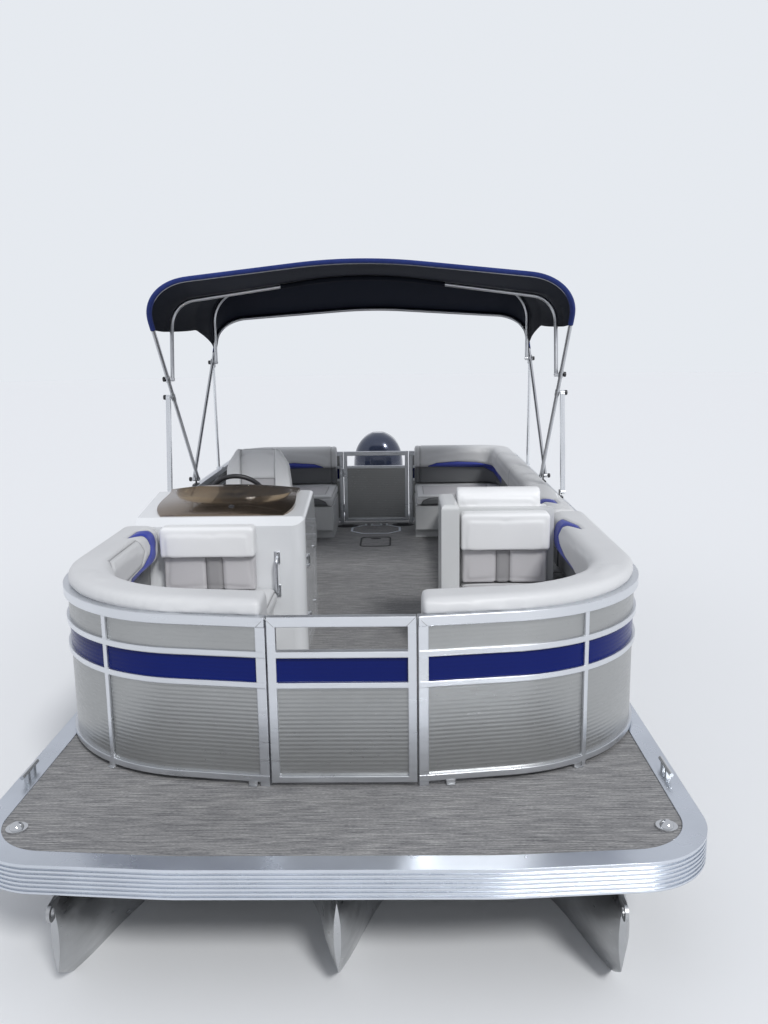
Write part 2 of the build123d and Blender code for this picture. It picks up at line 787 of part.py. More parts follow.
with BuildPart() as console:
    profile = [
        (console_bow, deck_top), (console_bow, deck_top + 725), (console_bow + 60, deck_top + 765),
        dash_top, dash_foot, (dash_foot[0], dash_foot[1] - 60), (console_knee, 940), (console_knee, deck_top),
    ]
    slab(profile, Plane(origin=(console_outer, 0, 0), x_dir=(0, 1, 0), z_dir=(1, 0, 0)), console_inner - console_outer)
    front_edges = console.edges().filter_by(Axis.Z).group_by(Axis.Y)[0]
    fillet(front_edges.sort_by(Axis.X)[-1:], console_corner)
    rim = console.edges().filter_by_position(Axis.Z, deck_top + 730, dash_top[1] + 1)
    fillet(rim.filter_by_position(Axis.X, console_inner - 1, console_inner + 1), console_rim)
    block(
        (console_outer + shell_wall, console_bow + 70, deck_top - 1),
        (console_inner + 1, console_knee - shell_wall, door_high + 20),
        mode=Mode.SUBTRACT,
    )
    wall = ((console_bow + 69, door_bow), (door_stern, console_knee - shell_wall + 1))
    for start, end in wall:
        block((console_inner - shell_wall - door_thickness, start, deck_top), (console_inner, end, door_high + 21))
    for low, high in ((deck_top, door_low), (door_high, door_high + 21)):
        block((console_inner - shell_wall - door_thickness, door_bow, low), (console_inner, door_stern, high))
    for number in (-1, 0, 1):
        x = console_middle - 15 + number * gauge_spacing
        rod((x, *on_dash(gauge_share, -2)), (x, *on_dash(gauge_share, 7)), gauge_radius)
    slab([on_dash(0.3, -2), on_dash(0.36, 38), on_dash(0.66, 38), on_dash(0.72, -2)],
         Plane(origin=(lever_x - 32, 0, 0), x_dir=(0, 1, 0), z_dir=(1, 0, 0)), 64)
    rod((lever_x, *on_dash(0.5, 30)), (lever_x, *on_dash(0.4, 120)), 8)
    rod((lever_x - 30, *on_dash(0.4, 120)), (lever_x + 30, *on_dash(0.4, 120)), 13)
finish(console, "console")

door_clear = 3
door_axis = (console_inner + 8, door_bow + 8)
with BuildPart() as door:
    block(
        (console_inner - door_thickness, door_bow + door_clear, door_low + door_clear),
        (console_inner, door_stern - door_clear, door_high - door_clear),
    )
    for level in (0.2, 0.8):
        z = door_low + level * (door_high - door_low)
        rod((console_inner - 1, door_stern - 45, z), (console_inner + 8, door_stern - 45, z), latch_radius)
        rod((*door_axis, z - 20), (*door_axis, z + 20), barrel_radius)
        block((console_inner - 1, door_axis[1], z - 20), (door_axis[0], door_axis[1] + 12, z + 20))
        rod((*door_axis, z - 21), (*door_axis, z + 21), pin_radius + hinge_clearance, mode=Mode.SUBTRACT)
finish(door, "console_door")

with BuildPart() as door_hinges:
    for level in (0.2, 0.8):
        z = door_low + level * (door_high - door_low)
        rod((*door_axis, z - 34), (*door_axis, z + 34), pin_radius)
        for low, high in ((z - 34, z - 20 - knuckle_gap), (z + 20 + knuckle_gap, z + 34)):
            rod((*door_axis, low), (*door_axis, high), barrel_radius)
            block((console_inner, door_bow - 20, low), (door_axis[0], door_axis[1], high))

with BuildPart() as fixed_hinges:
    add(bow_pins.part)
    add(stern_pins.part)
    add(door_hinges.part)
    add(hatch_hinges.part)
finish(fixed_hinges, "fixed_hinges")

# Cowl and windscreen on the console's top

cowl_bow = console_bow + 75
cowl_stern = dash_top[0] - 10


def top_height(y):
    """Gives the height of the console's top at this place."""
    start = (console_bow + 60, deck_top + 765)
    share = (y - start[0]) / (dash_top[0] - start[0])
    return start[1] + share * (dash_top[1] - start[1])


# Cowl sections: share of its length, half width, height over the console's top
dome_sections = (
    (0.0, 335, 12),
    (0.15, 368, 36),
    (0.5, 380, 50),
    (1.0, 380, 42),
)

with BuildPart() as cowl:
    for share, half, height in dome_sections:
        y = cowl_bow + share * (cowl_stern - cowl_bow)
        with BuildSketch(Plane(origin=(console_middle, y, top_height(y) + seat_gap), x_dir=(1, 0, 0), z_dir=(0, -1, 0))):
            with BuildLine():
                Polyline((-half, 0.4 * height), (-half, 0), (half, 0), (half, 0.4 * height))
                ThreePointArc((half, 0.4 * height), (0, height), (-half, 0.4 * height))
            make_face()
    loft()
finish(cowl, "console_cowl")

screen_thickness = 6
screen_height = 118
screen_rake = 45
screen_half = 345
screen_bow = cowl_bow + 150
screen_stern = cowl_stern - 40
screen_base = top_height(screen_bow) + 10
screen_top = screen_base + screen_height

with BuildPart() as screen:
    for level, rake in ((screen_base, 0), (screen_top, screen_rake)):
        with BuildSketch(Plane.XY.offset(level)):
            with BuildLine(mode=Mode.PRIVATE) as line:
                FilletPolyline(
                    (console_middle - screen_half - 12 + rake / 3, screen_stern),
                    (console_middle - screen_half + rake / 3, screen_bow + rake),
                    (console_middle + screen_half - rake / 3, screen_bow + rake),
                    (console_middle + screen_half + 12 - rake / 3, screen_stern), radius=110,
                )
            trace(line.line, screen_thickness)
    loft(ruled=True)
    side = Plane(origin=(console_outer, 0, 0), x_dir=(0, 1, 0), z_dir=(1, 0, 0))
    slab(
        [(screen_bow - 20, screen_base - 20), (screen_stern + 20, screen_base - 20),
         (screen_stern + 20, top_height(screen_stern + 20) + 8), (screen_bow - 20, top_height(screen_bow - 20) + 8)],
        side, console_width, mode=Mode.SUBTRACT,
    )
    slab(
        [(screen_bow + screen_rake + 60, screen_top + 1), (screen_stern + 20, top_height(screen_stern) + 50),
         (screen_stern + 20, screen_top + 1)],
        side, console_width, mode=Mode.SUBTRACT,
    )
    add(cowl.part.moved(Location((0, 0, seat_gap))), mode=Mode.SUBTRACT)
finish(screen, "windscreen")

rail_x = console_inner - 110
rail_stand = 45
rail_low = deck_top + 240
rail_high = deck_top + 650
with BuildPart() as grab_rail:
    with BuildLine(Plane(origin=(rail_x, 0, 0), x_dir=(0, 1, 0), z_dir=(1, 0, 0))) as path:
        FilletPolyline(
            (console_bow - seat_gap, rail_low), (console_bow - rail_stand, rail_low),
            (console_bow - rail_stand, rail_high), (console_bow - seat_gap, rail_high), radius=30,
        )
    with BuildSketch(Plane(origin=path.line @ 0, z_dir=path.line % 0)):
        Circle(11)
    sweep(path=path.line)
finish(grab_rail, "grab_rail")

# Steering wheel on its column

wheel_radius = 182
wheel_rim = 14
wheel_centre = (console_middle - 15, -505, 1262)
wheel_tilt = math.atan2(dash_top[0] - dash_foot[0], dash_top[1] - dash_foot[1])
wheel_normal = (0, math.cos(wheel_tilt), -math.sin(wheel_tilt))
dash_distance = (wheel_centre[1] - dash_top[0]) * wheel_normal[1] + (wheel_centre[2] - dash_top[1]) * wheel_normal[2]
column_length = dash_distance - seat_gap
column_radius = 24

with BuildPart() as steering_wheel:
    wheel_plane = Plane(origin=wheel_centre, x_dir=(1, 0, 0), z_dir=wheel_normal)
    with BuildSketch(Plane(origin=wheel_centre, x_dir=wheel_normal, z_dir=(1, 0, 0))):
        with Locations((0, wheel_radius - wheel_rim)):
            Circle(wheel_rim)
    revolve(axis=Axis(wheel_centre, wheel_normal))
    with BuildSketch(wheel_plane.offset(-34)):
        Circle(48)
    extrude(amount=30)
    for angle in (90, 210, 330):
        tip = wheel_plane.from_local_coords(
            Vector(math.cos(math.radians(angle)), math.sin(math.radians(angle))) * (wheel_radius - wheel_rim)
        )
        hub = wheel_plane.offset(-20).origin
        rod(tuple(hub), tuple(tip), 10)
    with BuildSketch(wheel_plane.offset(-column_length)):
        Circle(column_radius)
    extrude(amount=column_length - 20)
finish(steering_wheel, "steering_wheel")

# Helm chair: a pedestal on the deck and a bucket chair that turns on it

chair_x = console_middle - 70
chair_y = 430
pedestal_top = deck_top + 330

with BuildPart() as pedestal:
    with BuildSketch(Plane.XY.offset(deck_top)):
        with Locations((chair_x, chair_y)):
            Circle(190)
    extrude(amount=14)
    rod((chair_x, chair_y, deck_top), (chair_x, chair_y, pedestal_top), 38)
finish(pedestal, "chair_pedestal")

recline = math.radians(8)
chair_up = (0, math.sin(recline), math.cos(recline))

# Back outline, one half: distance from the middle, height over the seat's underside
back_outline = ((245, 60), (245, 250), (222, 430), (150, 545))

with BuildPart() as chair:
    rod((chair_x, chair_y, pedestal_top + knuckle_gap), (chair_x, chair_y, pedestal_top + 60), 90)
    low = pedestal_top + 50
    with BuildSketch(Plane.XY.offset(low)):
        with Locations((chair_x, chair_y - 15)):
            RectangleRounded(500, 470, 60)
    extrude(amount=120)
    fillet(top_edges(chair), 30)
    back_plane = Plane(origin=(chair_x, chair_y + 255, low), x_dir=(1, 0, 0), z_dir=(0, -chair_up[2], chair_up[1]))
    slab([*back_outline, *((-x, z) for x, z in reversed(back_outline))], back_plane, 135, round_by=38)
    with BuildSketch(back_plane.offset(96)):
        with Locations((0, 350)):
            RectangleRounded(236, 480, 20)
    extrude(amount=60, mode=Mode.SUBTRACT)
    for sign in (-1, 1):
        x = chair_x + sign * 282
        block((x - 24, chair_y - 150, low + 210), (x + 24, chair_y + 190, low + 258))
        rod((x, chair_y - 150, low + 234), (x, chair_y - 151, low + 234), 24)
        block((x - 40 if sign > 0 else x - 15, chair_y - 10, low + 40),
              (x + 15 if sign > 0 else x + 40, chair_y + 60, low + 212))
finish(chair, "helm_chair")

# Motor pod: a bracket under the stern with the transom plate

transom_y = stern_y - 20
transom_plate = 45
transom_half = 260
transom_low = 60
transom_high = 440

with BuildPart() as pod:
    y0 = pod_bow + seat_gap
    slab(
        [(y0, 330), (transom_y, 330), (transom_y, transom_low), (transom_y - 200, -60), (y0, -200)],
        Plane(origin=(-transom_half + 20, 0, 0), x_dir=(0, 1, 0), z_dir=(1, 0, 0)),
        2 * transom_half - 40,
    )
    block((-transom_half, transom_y - transom_plate, transom_low), (transom_half, transom_y, transom_high))
    for x in (-transom_half, transom_half - 30):
        block((x, y0, 300), (x + 30, stern_y - well_length - 40, frame_under))
finish(pod, "motor_pod")

# Outboard motor: clamp bracket, swivel bracket, leg, cowl and propeller

tilt_axis_y = transom_y + 60
tilt_axis_z = 490
steer_axis_y = transom_y + 110
bracket_half = 110
swivel_low = 235
swivel_high = 502
kingpin_radius = 10
swivel_half = 70

with BuildPart() as clamp:
    for sign in (-1, 1):
        inner_x = sign * (swivel_half + 3)
        outer_x = sign * bracket_half
        left, right = sorted((inner_x, outer_x))
        slab(
            [(transom_y, 150), (transom_y + 50, 150), (tilt_axis_y + 30, tilt_axis_z - 20),
             (tilt_axis_y + 24, tilt_axis_z + 26), (transom_y - transom_plate - 30, tilt_axis_z + 10),
             (transom_y - transom_plate - 30, 380), (transom_y - transom_plate - seat_gap, 380),
             (transom_y - transom_plate - seat_gap, transom_high + seat_gap), (transom_y, transom_high + seat_gap)],
            Plane(origin=(left, 0, 0), x_dir=(0, 1, 0), z_dir=(1, 0, 0)),
            right - left,
        )
    rod((-bracket_half - 12, tilt_axis_y, tilt_axis_z), (bracket_half + 12, tilt_axis_y, tilt_axis_z), 14)
finish(clamp, "clamp_bracket")

with BuildPart() as swivel:
    slab(
        [(tilt_axis_y - 26, tilt_axis_z - 26), (tilt_axis_y - 26, tilt_axis_z + 8),
         (steer_axis_y, tilt_axis_z + 8), (steer_axis_y, swivel_low), (transom_y + 14, swivel_low)],
        Plane(origin=(-swivel_half, 0, 0), x_dir=(0, 1, 0), z_dir=(1, 0, 0)),
        2 * swivel_half,
    )
    rod((-swivel_half, tilt_axis_y, tilt_axis_z), (swivel_half, tilt_axis_y, tilt_axis_z), 24)
    rod((0, steer_axis_y, swivel_low), (0, steer_axis_y, swivel_high), 36)
    rod((-swivel_half - 1, tilt_axis_y, tilt_axis_z), (swivel_half + 1, tilt_axis_y, tilt_axis_z),
        14 + hinge_clearance, mode=Mode.SUBTRACT)
    rod((0, steer_axis_y, swivel_low - 1), (0, steer_axis_y, swivel_high + 1),
        kingpin_radius + hinge_clearance, mode=Mode.SUBTRACT)
finish(swivel, "swivel_bracket")

leg_y = steer_axis_y + 150
plate_level = -175
prop_axis = -385

with BuildPart() as leg:
    for level, half_length, half_width, shift in ((620, 190, 120, 60), (560, 190, 120, 60)):
        with BuildSketch(Plane.XY.offset(level)):
            with Locations((0, leg_y + shift)):
                Ellipse(half_width, half_length)
    loft()
    for level, half_length, half_width, shift in ((561, 110, 80, 10), (150, 100, 60, 10), (plate_level, 110, 34, 20)):
        with BuildSketch(Plane.XY.offset(level)):
            with Locations((0, leg_y + shift)):
                Ellipse(half_width, half_length)
    loft()
    slab(
        [(-70, leg_y - 110), (70, leg_y - 110), (110, leg_y + 150), (0, leg_y + 250), (-110, leg_y + 150)],
        Plane.XY.offset(plate_level - 5), 12,
    )
    with BuildSketch(Plane.XY.offset(plate_level + 5)):
        with Locations((0, leg_y + 20)):
            Ellipse(30, 110)
    with BuildSketch(Plane.XY.offset(prop_axis)):
        with Locations((0, leg_y + 10)):
            Ellipse(22, 90)
    loft()
    with BuildSketch(Plane(origin=(0, leg_y - 150, prop_axis), x_dir=(1, 0, 0), z_dir=(0, 1, 0))):
        Circle(18)
    with BuildSketch(Plane(origin=(0, leg_y - 60, prop_axis), x_dir=(1, 0, 0), z_dir=(0, 1, 0))):
        Circle(52)
    loft()
    rod((0, leg_y - 61, prop_axis), (0, leg_y + 140, prop_axis), 52)
    slab(
        [(leg_y - 70, prop_axis), (leg_y + 90, prop_axis), (leg_y + 100, prop_axis - 175),
         (leg_y + 20, prop_axis - 175)],
        Plane(origin=(-8, 0, 0), x_dir=(0, 1, 0), z_dir=(1, 0, 0)), 16,
    )
    rod((0, steer_axis_y, swivel_low - 20), (0, steer_axis_y, swivel_high + 20), kingpin_radius)
    for level in (swivel_low - 34, swivel_high + 2):
        rod((0, steer_axis_y, level), (0, steer_axis_y, level + 32), 22)
        block((-22, steer_axis_y, level), (22, leg_y - 60, level + 32))
    rod((0, leg_y + 130, prop_axis), (0, leg_y + 210, prop_axis), 12)
finish(leg, "engine_leg")

# Cowl sections: height, half length, half width, shift to the stern
cowl_sections = (
    (620, 235, 165, 60),
    (700, 265, 225, 65),
    (880, 272, 256, 64),
    (1040, 258, 245, 60),
    (1160, 215, 195, 52),
    (1230, 150, 125, 45),
    (1264, 80, 60, 38),
)

with BuildPart() as engine_cowl:
    for level, half_length, half_width, shift in cowl_sections:
        with BuildSketch(Plane.XY.offset(level)):
            with Locations((0, leg_y + shift)):
                RectangleRounded(2 * half_width, 2 * half_length, half_width * 0.8)
    loft()
finish(engine_cowl, "engine_cowl")

prop_radius = 190
hub_radius = 50
prop_start = leg_y + 142
hub_length = 95

with BuildPart() as propeller:
    rod((0, prop_start, prop_axis), (0, prop_start + hub_length, prop_axis), hub_radius)
    for blade in range(3):
        angle = blade * 120
        outward = Vector(math.sin(math.radians(angle)), 0, math.cos(math.radians(angle)))
        sideways = Vector(math.cos(math.radians(angle)), 0, -math.sin(math.radians(angle)))
        for reach, chord, pitch in ((hub_radius - 12, 90, 62), (120, 130, 42), (prop_radius - 8, 70, 32)):
            lean = math.radians(pitch)
            run = sideways * math.cos(lean) + Vector(0, 1, 0) * math.sin(lean)
            place = Vector(0, prop_start + hub_length / 2, prop_axis) + outward * reach
            with BuildSketch(Plane(origin=place, x_dir=run, z_dir=outward)):
                SlotOverall(chord, 7)
        loft()
    rod((0, prop_start - 1, prop_axis), (0, prop_start + hub_length + 1, prop_axis), 12 + hinge_clearance,
        mode=Mode.SUBTRACT)
finish(propeller, "propeller")

# Boarding ladder: two stages folded on the stern deck, hinged at its edge

ladder_tube = 14
upper_length = ladder_axis_y - stern_gate_y - 180
lower_length = 520
stage_gap = 36


def ladder_stage(name, inset, start_y, end_y, level, rungs):
    """Makes a stage of two stringers and flat treads."""
    left = ladder_x + inset
    right = ladder_x + ladder_width - inset
    with BuildPart() as stage:
        for x in (left, right):
            rod((x, start_y, level), (x, end_y, level), ladder_tube)
        for number in range(rungs):
            y = start_y + (number + 0.8) * (end_y - start_y) / rungs
            block((left, y - 22, level - 7), (right, y + 22, level + 7))
    return stage


upper = ladder_stage("upper", 0, ladder_axis_y, ladder_axis_y - upper_length, ladder_axis_z, 2)
with BuildPart() as ladder_upper:
    add(upper.part)
    for x in (ladder_x, ladder_x + ladder_width):
        rod((x - 11, ladder_axis_y, ladder_axis_z), (x + 11, ladder_axis_y, ladder_axis_z), 17)
        rod((x - 15, ladder_axis_y, ladder_axis_z), (x + 15, ladder_axis_y, ladder_axis_z),
            6 + hinge_clearance, mode=Mode.SUBTRACT)
        fold_y = ladder_axis_y - upper_length
        block((x - 11, fold_y - 2, ladder_axis_z), (x + 11, fold_y + 26, ladder_axis_z + stage_gap / 2 + 10))
    fold_z = ladder_axis_z + stage_gap / 2
    rod((ladder_x - 14, fold_y + 12, fold_z), (ladder_x + ladder_width + 14, fold_y + 12, fold_z), 6)
finish(ladder_upper, "ladder_upper")

with BuildPart() as ladder_lower:
    lower = ladder_stage("lower", 34, fold_y + 30, fold_y + 30 + lower_length, ladder_axis_z + stage_gap, 2)
    add(lower.part)
    for x in (ladder_x + 34, ladder_x + ladder_width - 34):
        rod((x - 11, fold_y + 12, fold_z), (x + 11, fold_y + 12, fold_z), 16)
        block((x - 10, fold_y + 12, fold_z + 4), (x + 10, fold_y + 40, fold_z + 26))
        rod((x - 15, fold_y + 12, fold_z), (x + 15, fold_y + 12, fold_z), 6 + hinge_clearance, mode=Mode.SUBTRACT)
finish(ladder_lower, "ladder_lower")

# Sunshade frame: two main bows from one foot a side, two secondary bows, and struts

foot_y = 580
foot_z = rail_top + 42
bow_tube = 12.5
strut_half = 16
aft_angle = 43.75
front_angle = 133.4
aft_x = half_beam - 18
front_x = aft_x - 30
second_x = front_x - 30
strut_x = half_beam - 15
second_distance = 1030
joint_distance = 1190
knuckle_distance = 864
eye_half = 11.5

# Bows: crown's distance along the legs, corner radius, crown's rise over the corners
aft_bow = (1786, 250, 110)
front_bow = (1933, 320, 150)
front_second = (629, 165, 150)
aft_second = (637, 250, 100)
front_second_angle = 81
aft_second_angle = 91.8


def direction(angle):
    """Gives the unit vector at this angle above the stern direction, in a side view."""
    return Vector(0, math.cos(math.radians(angle)), math.sin(math.radians(angle)))


def bow_plane(origin, angle):
    """Gives the plane of a bow: across the boat, and along its legs."""
    along = direction(angle)
    return Plane(origin=origin, x_dir=(1, 0, 0), z_dir=Vector(1, 0, 0).cross(along))


def bow_points(half, shape, edge=0, wider=0, longer=0):
    """Gives the corner points of a bow in its own plane, its legs from this edge."""
    length, corner, rise = shape
    crown = length + longer
    shoulder = crown - rise
    wide = half + wider
    return [(-wide, edge), (-wide, shoulder), (0, crown + 20), (wide, shoulder), (wide, edge)]


def bow(half, shape, origin, angle):
    """Adds a bent tube from leg to leg."""
    plane = bow_plane(origin, angle)
    corner = shape[1]
    with BuildLine(plane) as path:
        FilletPolyline(*bow_points(half, shape), radius=[corner, crown_radius, corner])
    with BuildSketch(Plane(origin=path.line @ 0, z_dir=path.line % 0)) as section:
        Circle(bow_tube)
    sweep(section.sketch, path=path.line)
    for sign in (-1, 1):
        eye(sign * half, origin)


def eye(x, origin, radius=14, half=eye_half):
    """Adds the drilled boss at a tube's end."""
    place = Vector(origin)
    y, z = place.Y, place.Z
    rod((x - half, y, z), (x + half, y, z), radius)


def drill(x, origin, half=14):
    """Cuts a pin hole."""
    place = Vector(origin)
    y, z = place.Y, place.Z
    rod((x - half, y, z), (x + half, y, z), 4 + hinge_clearance, mode=Mode.SUBTRACT)


foot = Vector(0, foot_y, foot_z)
aft_joint = foot + direction(aft_angle) * joint_distance
second_joint = foot + direction(front_angle) * second_distance
knuckle = foot + direction(front_angle) * knuckle_distance
strut_foot_y = knuckle.Y - 95
strut_foot_z = rail_top + 36
crown_radius = 2600
rear_drop = 34
rear_pin = aft_joint - direction(aft_angle + 90) * rear_drop
rear_foot = Vector(0, rear_pin.Y + 20, rail_top + 36)

with BuildPart() as feet:
    for sign in (-1, 1):
        x = sign * (front_x + aft_x) / 2
        block((x - 20, foot_y - 45, rail_top), (x + 15, foot_y + 45, rail_top + 8))
        slab(
            [(foot_y - 30, rail_top + 7), (foot_y + 30, rail_top + 7), (foot_y + 12, foot_z + 12),
             (foot_y - 12, foot_z + 12)],
            Plane(origin=(x - 1.5, 0, 0), x_dir=(0, 1, 0), z_dir=(1, 0, 0)), 3,
        )
        rod((x - 30, foot_y, foot_z), (x + 30, foot_y, foot_z), 4)
        centre = sign * (fence_x + 2)
        block((centre - 20, strut_foot_y - 30, rail_top), (centre + 18, strut_foot_y + 30, rail_top + 8))
        inner = sign * (strut_x - strut_half - 4)
        left, right = sorted((inner, inner - sign * 4))
        block((left, strut_foot_y - 14, rail_top + 7), (right, strut_foot_y + 14, strut_foot_z + 14))
finish(feet, "sunshade_feet")

with BuildPart() as aft_main:
    bow(aft_x, aft_bow, tuple(foot), aft_angle)
    for sign in (-1, 1):
        drill(sign * aft_x, foot)
        for inner, outer in ((aft_x - 16, aft_x - 13.3), (aft_x + 13.3, aft_x + 16.5)):
            left, right = sorted((sign * inner, sign * outer))
            slab(
                [(aft_joint.Y - 25, aft_joint.Z - 3), (aft_joint.Y + 18, aft_joint.Z + 30),
                 (rear_pin.Y + 18, rear_pin.Z - 8), (rear_pin.Y - 6, rear_pin.Z - 18)],
                Plane(origin=(left, 0, 0), x_dir=(0, 1, 0), z_dir=(1, 0, 0)), right - left,
            )
        left, right = sorted((sign * (front_x - 14), sign * (aft_x + 17)))
        rod((left, aft_joint.Y, aft_joint.Z), (right, aft_joint.Y, aft_joint.Z), 4)
        left, right = sorted((sign * (aft_x - 16), sign * (aft_x + 16.5)))
        rod((left, rear_pin.Y, rear_pin.Z), (right, rear_pin.Y, rear_pin.Z), 4)
finish(aft_main, "aft_main_bow")

with BuildPart() as rear_struts:
    for sign in (-1, 1):
        x = sign * aft_x
        rod((x, rear_foot.Y, rail_top + 8), (x, rear_pin.Y, rear_pin.Z), 12)
        eye(x, rear_pin)
        drill(x, rear_pin)
        block((x - 36 if sign > 0 else x - 16, rear_foot.Y - 30, rail_top),
              (x + 16 if sign > 0 else x + 36, rear_foot.Y + 30, rail_top + 9))
finish(rear_struts, "rear_struts")

with BuildPart() as front_main:
    bow(front_x, front_bow, tuple(foot), front_angle)
    for sign in (-1, 1):
        drill(sign * front_x, foot)
        left, right = sorted((sign * (second_x - 14), sign * (front_x + 3)))
        rod((left, second_joint.Y, second_joint.Z), (right, second_joint.Y, second_joint.Z), 4)
        left, right = sorted((sign * (front_x - 2), sign * (strut_x + 17)))
        rod((left, knuckle.Y, knuckle.Z), (right, knuckle.Y, knuckle.Z), 4)
        for spot in (second_joint, knuckle):
            start = spot - direction(front_angle) * 22
            end = spot + direction(front_angle) * 22
            rod((sign * front_x, start.Y, start.Z), (sign * front_x, end.Y, end.Z), 15.5)
finish(front_main, "front_main_bow")

with BuildPart() as front_second_bow:
    bow(second_x, front_second, tuple(second_joint), front_second_angle)
    for sign in (-1, 1):
        drill(sign * second_x, second_joint)
finish(front_second_bow, "front_second_bow")

with BuildPart() as aft_second_bow:
    bow(front_x, aft_second, tuple(aft_joint), aft_second_angle)
    for sign in (-1, 1):
        drill(sign * front_x, aft_joint)
finish(aft_second_bow, "aft_second_bow")

with BuildPart() as front_struts:
    for sign in (-1, 1):
        x = sign * strut_x
        along = Vector(0, knuckle.Y, knuckle.Z) - Vector(0, strut_foot_y, strut_foot_z)
        plane = Plane(origin=(x, strut_foot_y, strut_foot_z), x_dir=(1, 0, 0), z_dir=along)
        with BuildSketch(plane.offset(10)):
            RectangleRounded(2 * strut_half - 3, 2 * strut_half, 4)
        extrude(amount=along.length - 18)
        rod((x - 13, knuckle.Y, knuckle.Z), (x + 13, knuckle.Y, knuckle.Z), 16)
        rod((x - 13, strut_foot_y, strut_foot_z), (x + 13, strut_foot_y, strut_foot_z), 16)
        drill(x, knuckle, half=18)
        drill(x, (0, strut_foot_y, strut_foot_z), half=18)
finish(front_struts, "front_struts")

# Canopy: a skin over the four bows, with a longer skirt towards the stern

skin = 5
lift = bow_tube + 2 + skin / 2
mid_origin = Vector(0, foot_y + 270, foot_z + 720)

mid_bow = (690, 175, 110)

# Canopy sections: origin, angle, half width, bow shape, edge distance, lift of the crown
canopy_sections = (
    (foot, front_angle, front_x, front_bow, 1450, 1.6 * lift),
    (second_joint, front_second_angle, front_x, front_second, 300, lift),
    (mid_origin, 90, front_x + 5, mid_bow, 350, lift),
    (aft_joint, aft_second_angle, front_x + 15, aft_second, 150, lift),
    (foot, aft_angle, aft_x - 1, aft_bow, joint_distance + 110, 1.6 * lift),
)

with BuildPart() as canopy:
    for origin, angle, half, shape, edge, crown_lift in canopy_sections:
        corner = shape[1] + lift
        with BuildSketch(bow_plane(tuple(origin), angle)):
            with BuildLine(mode=Mode.PRIVATE) as line:
                FilletPolyline(*bow_points(half, shape, edge, lift, crown_lift), radius=[corner, crown_radius, corner])
            trace(line.line, skin)
    loft(ruled=True)
finish(canopy, "canopy")
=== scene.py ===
import math

import bpy
import numpy as np
from mathutils import Matrix, Vector
from mathutils.bvhtree import BVHTree


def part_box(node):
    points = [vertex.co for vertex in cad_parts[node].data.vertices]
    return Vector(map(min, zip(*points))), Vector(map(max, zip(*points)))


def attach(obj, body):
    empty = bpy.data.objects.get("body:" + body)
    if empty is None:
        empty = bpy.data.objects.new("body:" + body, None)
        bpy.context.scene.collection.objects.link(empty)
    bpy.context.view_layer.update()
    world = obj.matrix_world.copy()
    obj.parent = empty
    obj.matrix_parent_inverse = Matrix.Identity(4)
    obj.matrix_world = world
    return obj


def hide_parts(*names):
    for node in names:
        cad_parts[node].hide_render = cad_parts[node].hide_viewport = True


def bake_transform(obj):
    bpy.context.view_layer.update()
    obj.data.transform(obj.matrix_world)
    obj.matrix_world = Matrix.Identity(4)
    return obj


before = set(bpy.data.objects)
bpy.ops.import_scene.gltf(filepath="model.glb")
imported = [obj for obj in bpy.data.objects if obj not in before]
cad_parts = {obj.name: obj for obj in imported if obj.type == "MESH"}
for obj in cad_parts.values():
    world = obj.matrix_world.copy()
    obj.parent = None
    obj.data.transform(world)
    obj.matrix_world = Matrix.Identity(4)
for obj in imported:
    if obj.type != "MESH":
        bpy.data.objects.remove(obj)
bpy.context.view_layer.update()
bpy.ops.object.select_all(action="DESELECT")

# Hull tubes: three aluminium tubes rolled from sheet and welded, with raked noses and bare metal skins.
# The sheet shows a fine lengthwise grain, faint stains, and a duller band where it sits in the water.


def new_group(name, inputs, outputs):
    """Starts a shader group with these named sockets, each (name, kind, value)."""
    group = bpy.data.node_groups.new(name, "ShaderNodeTree")
    for label, kind, value in inputs:
        socket = group.interface.new_socket(label, in_out="INPUT", socket_type=kind)
        if value is not None:
            socket.default_value = value
    for label, kind in outputs:
        group.interface.new_socket(label, in_out="OUTPUT", socket_type=kind)
    group.nodes.new("NodeGroupInput")
    group.nodes.new("NodeGroupOutput")
    return group


def node(tree, kind, values=(), **settings):
    """Adds a shader node; values are its input sockets by name or number, settings its properties."""
    made = tree.nodes.new("ShaderNode" + kind)
    for key, value in settings.items():
        setattr(made, key, value)
    for key, value in dict(values).items():
        made.inputs[key].default_value = value
    return made


def wire(tree, *joins):
    """Joins sockets: each join is (node, output, node, input), or (socket, node, input)."""
    for *start, target, place in joins:
        source = start[0].outputs[start[1]] if len(start) == 2 else start[0]
        tree.links.new(source, target.inputs[place])


def ramp(tree, source, stops, steps=False):
    """Adds a colour ramp with these (place, grey or colour) stops, and gives its colour."""
    made = tree.nodes.new("ShaderNodeValToRGB")
    bar = made.color_ramp
    if steps:
        bar.interpolation = "CONSTANT"
    while len(bar.elements) < len(stops):
        bar.elements.new(0.5)
    for element, (place, shade) in zip(bar.elements, stops):
        element.position = place
        element.color = (*shade, 1) if isinstance(shade, tuple) else (shade, shade, shade, 1)
    wire(tree, (source, made, 0))
    return made.outputs[0]


def new_material(name, colour, roughness, metallic=0.0, more=()):
    """Starts a material, with more of its shader's values by name, and gives it with its tree and shader."""
    made = bpy.data.materials.new(name)
    made.use_nodes = True
    shader = made.node_tree.nodes["Principled BSDF"]
    values = {"Base Color": (*colour, 1), "Roughness": roughness, "Metallic": metallic, **dict(more)}
    for label, value in values.items():
        shader.inputs[label].default_value = value
    return made, made.node_tree, shader


def pattern(tree, kind, values, **settings):
    """Adds a texture that follows Object coordinates."""
    made = node(tree, "Tex" + kind, values, **settings)
    wire(tree, (node(tree, "TexCoord"), "Object", made, "Vector"))
    return made


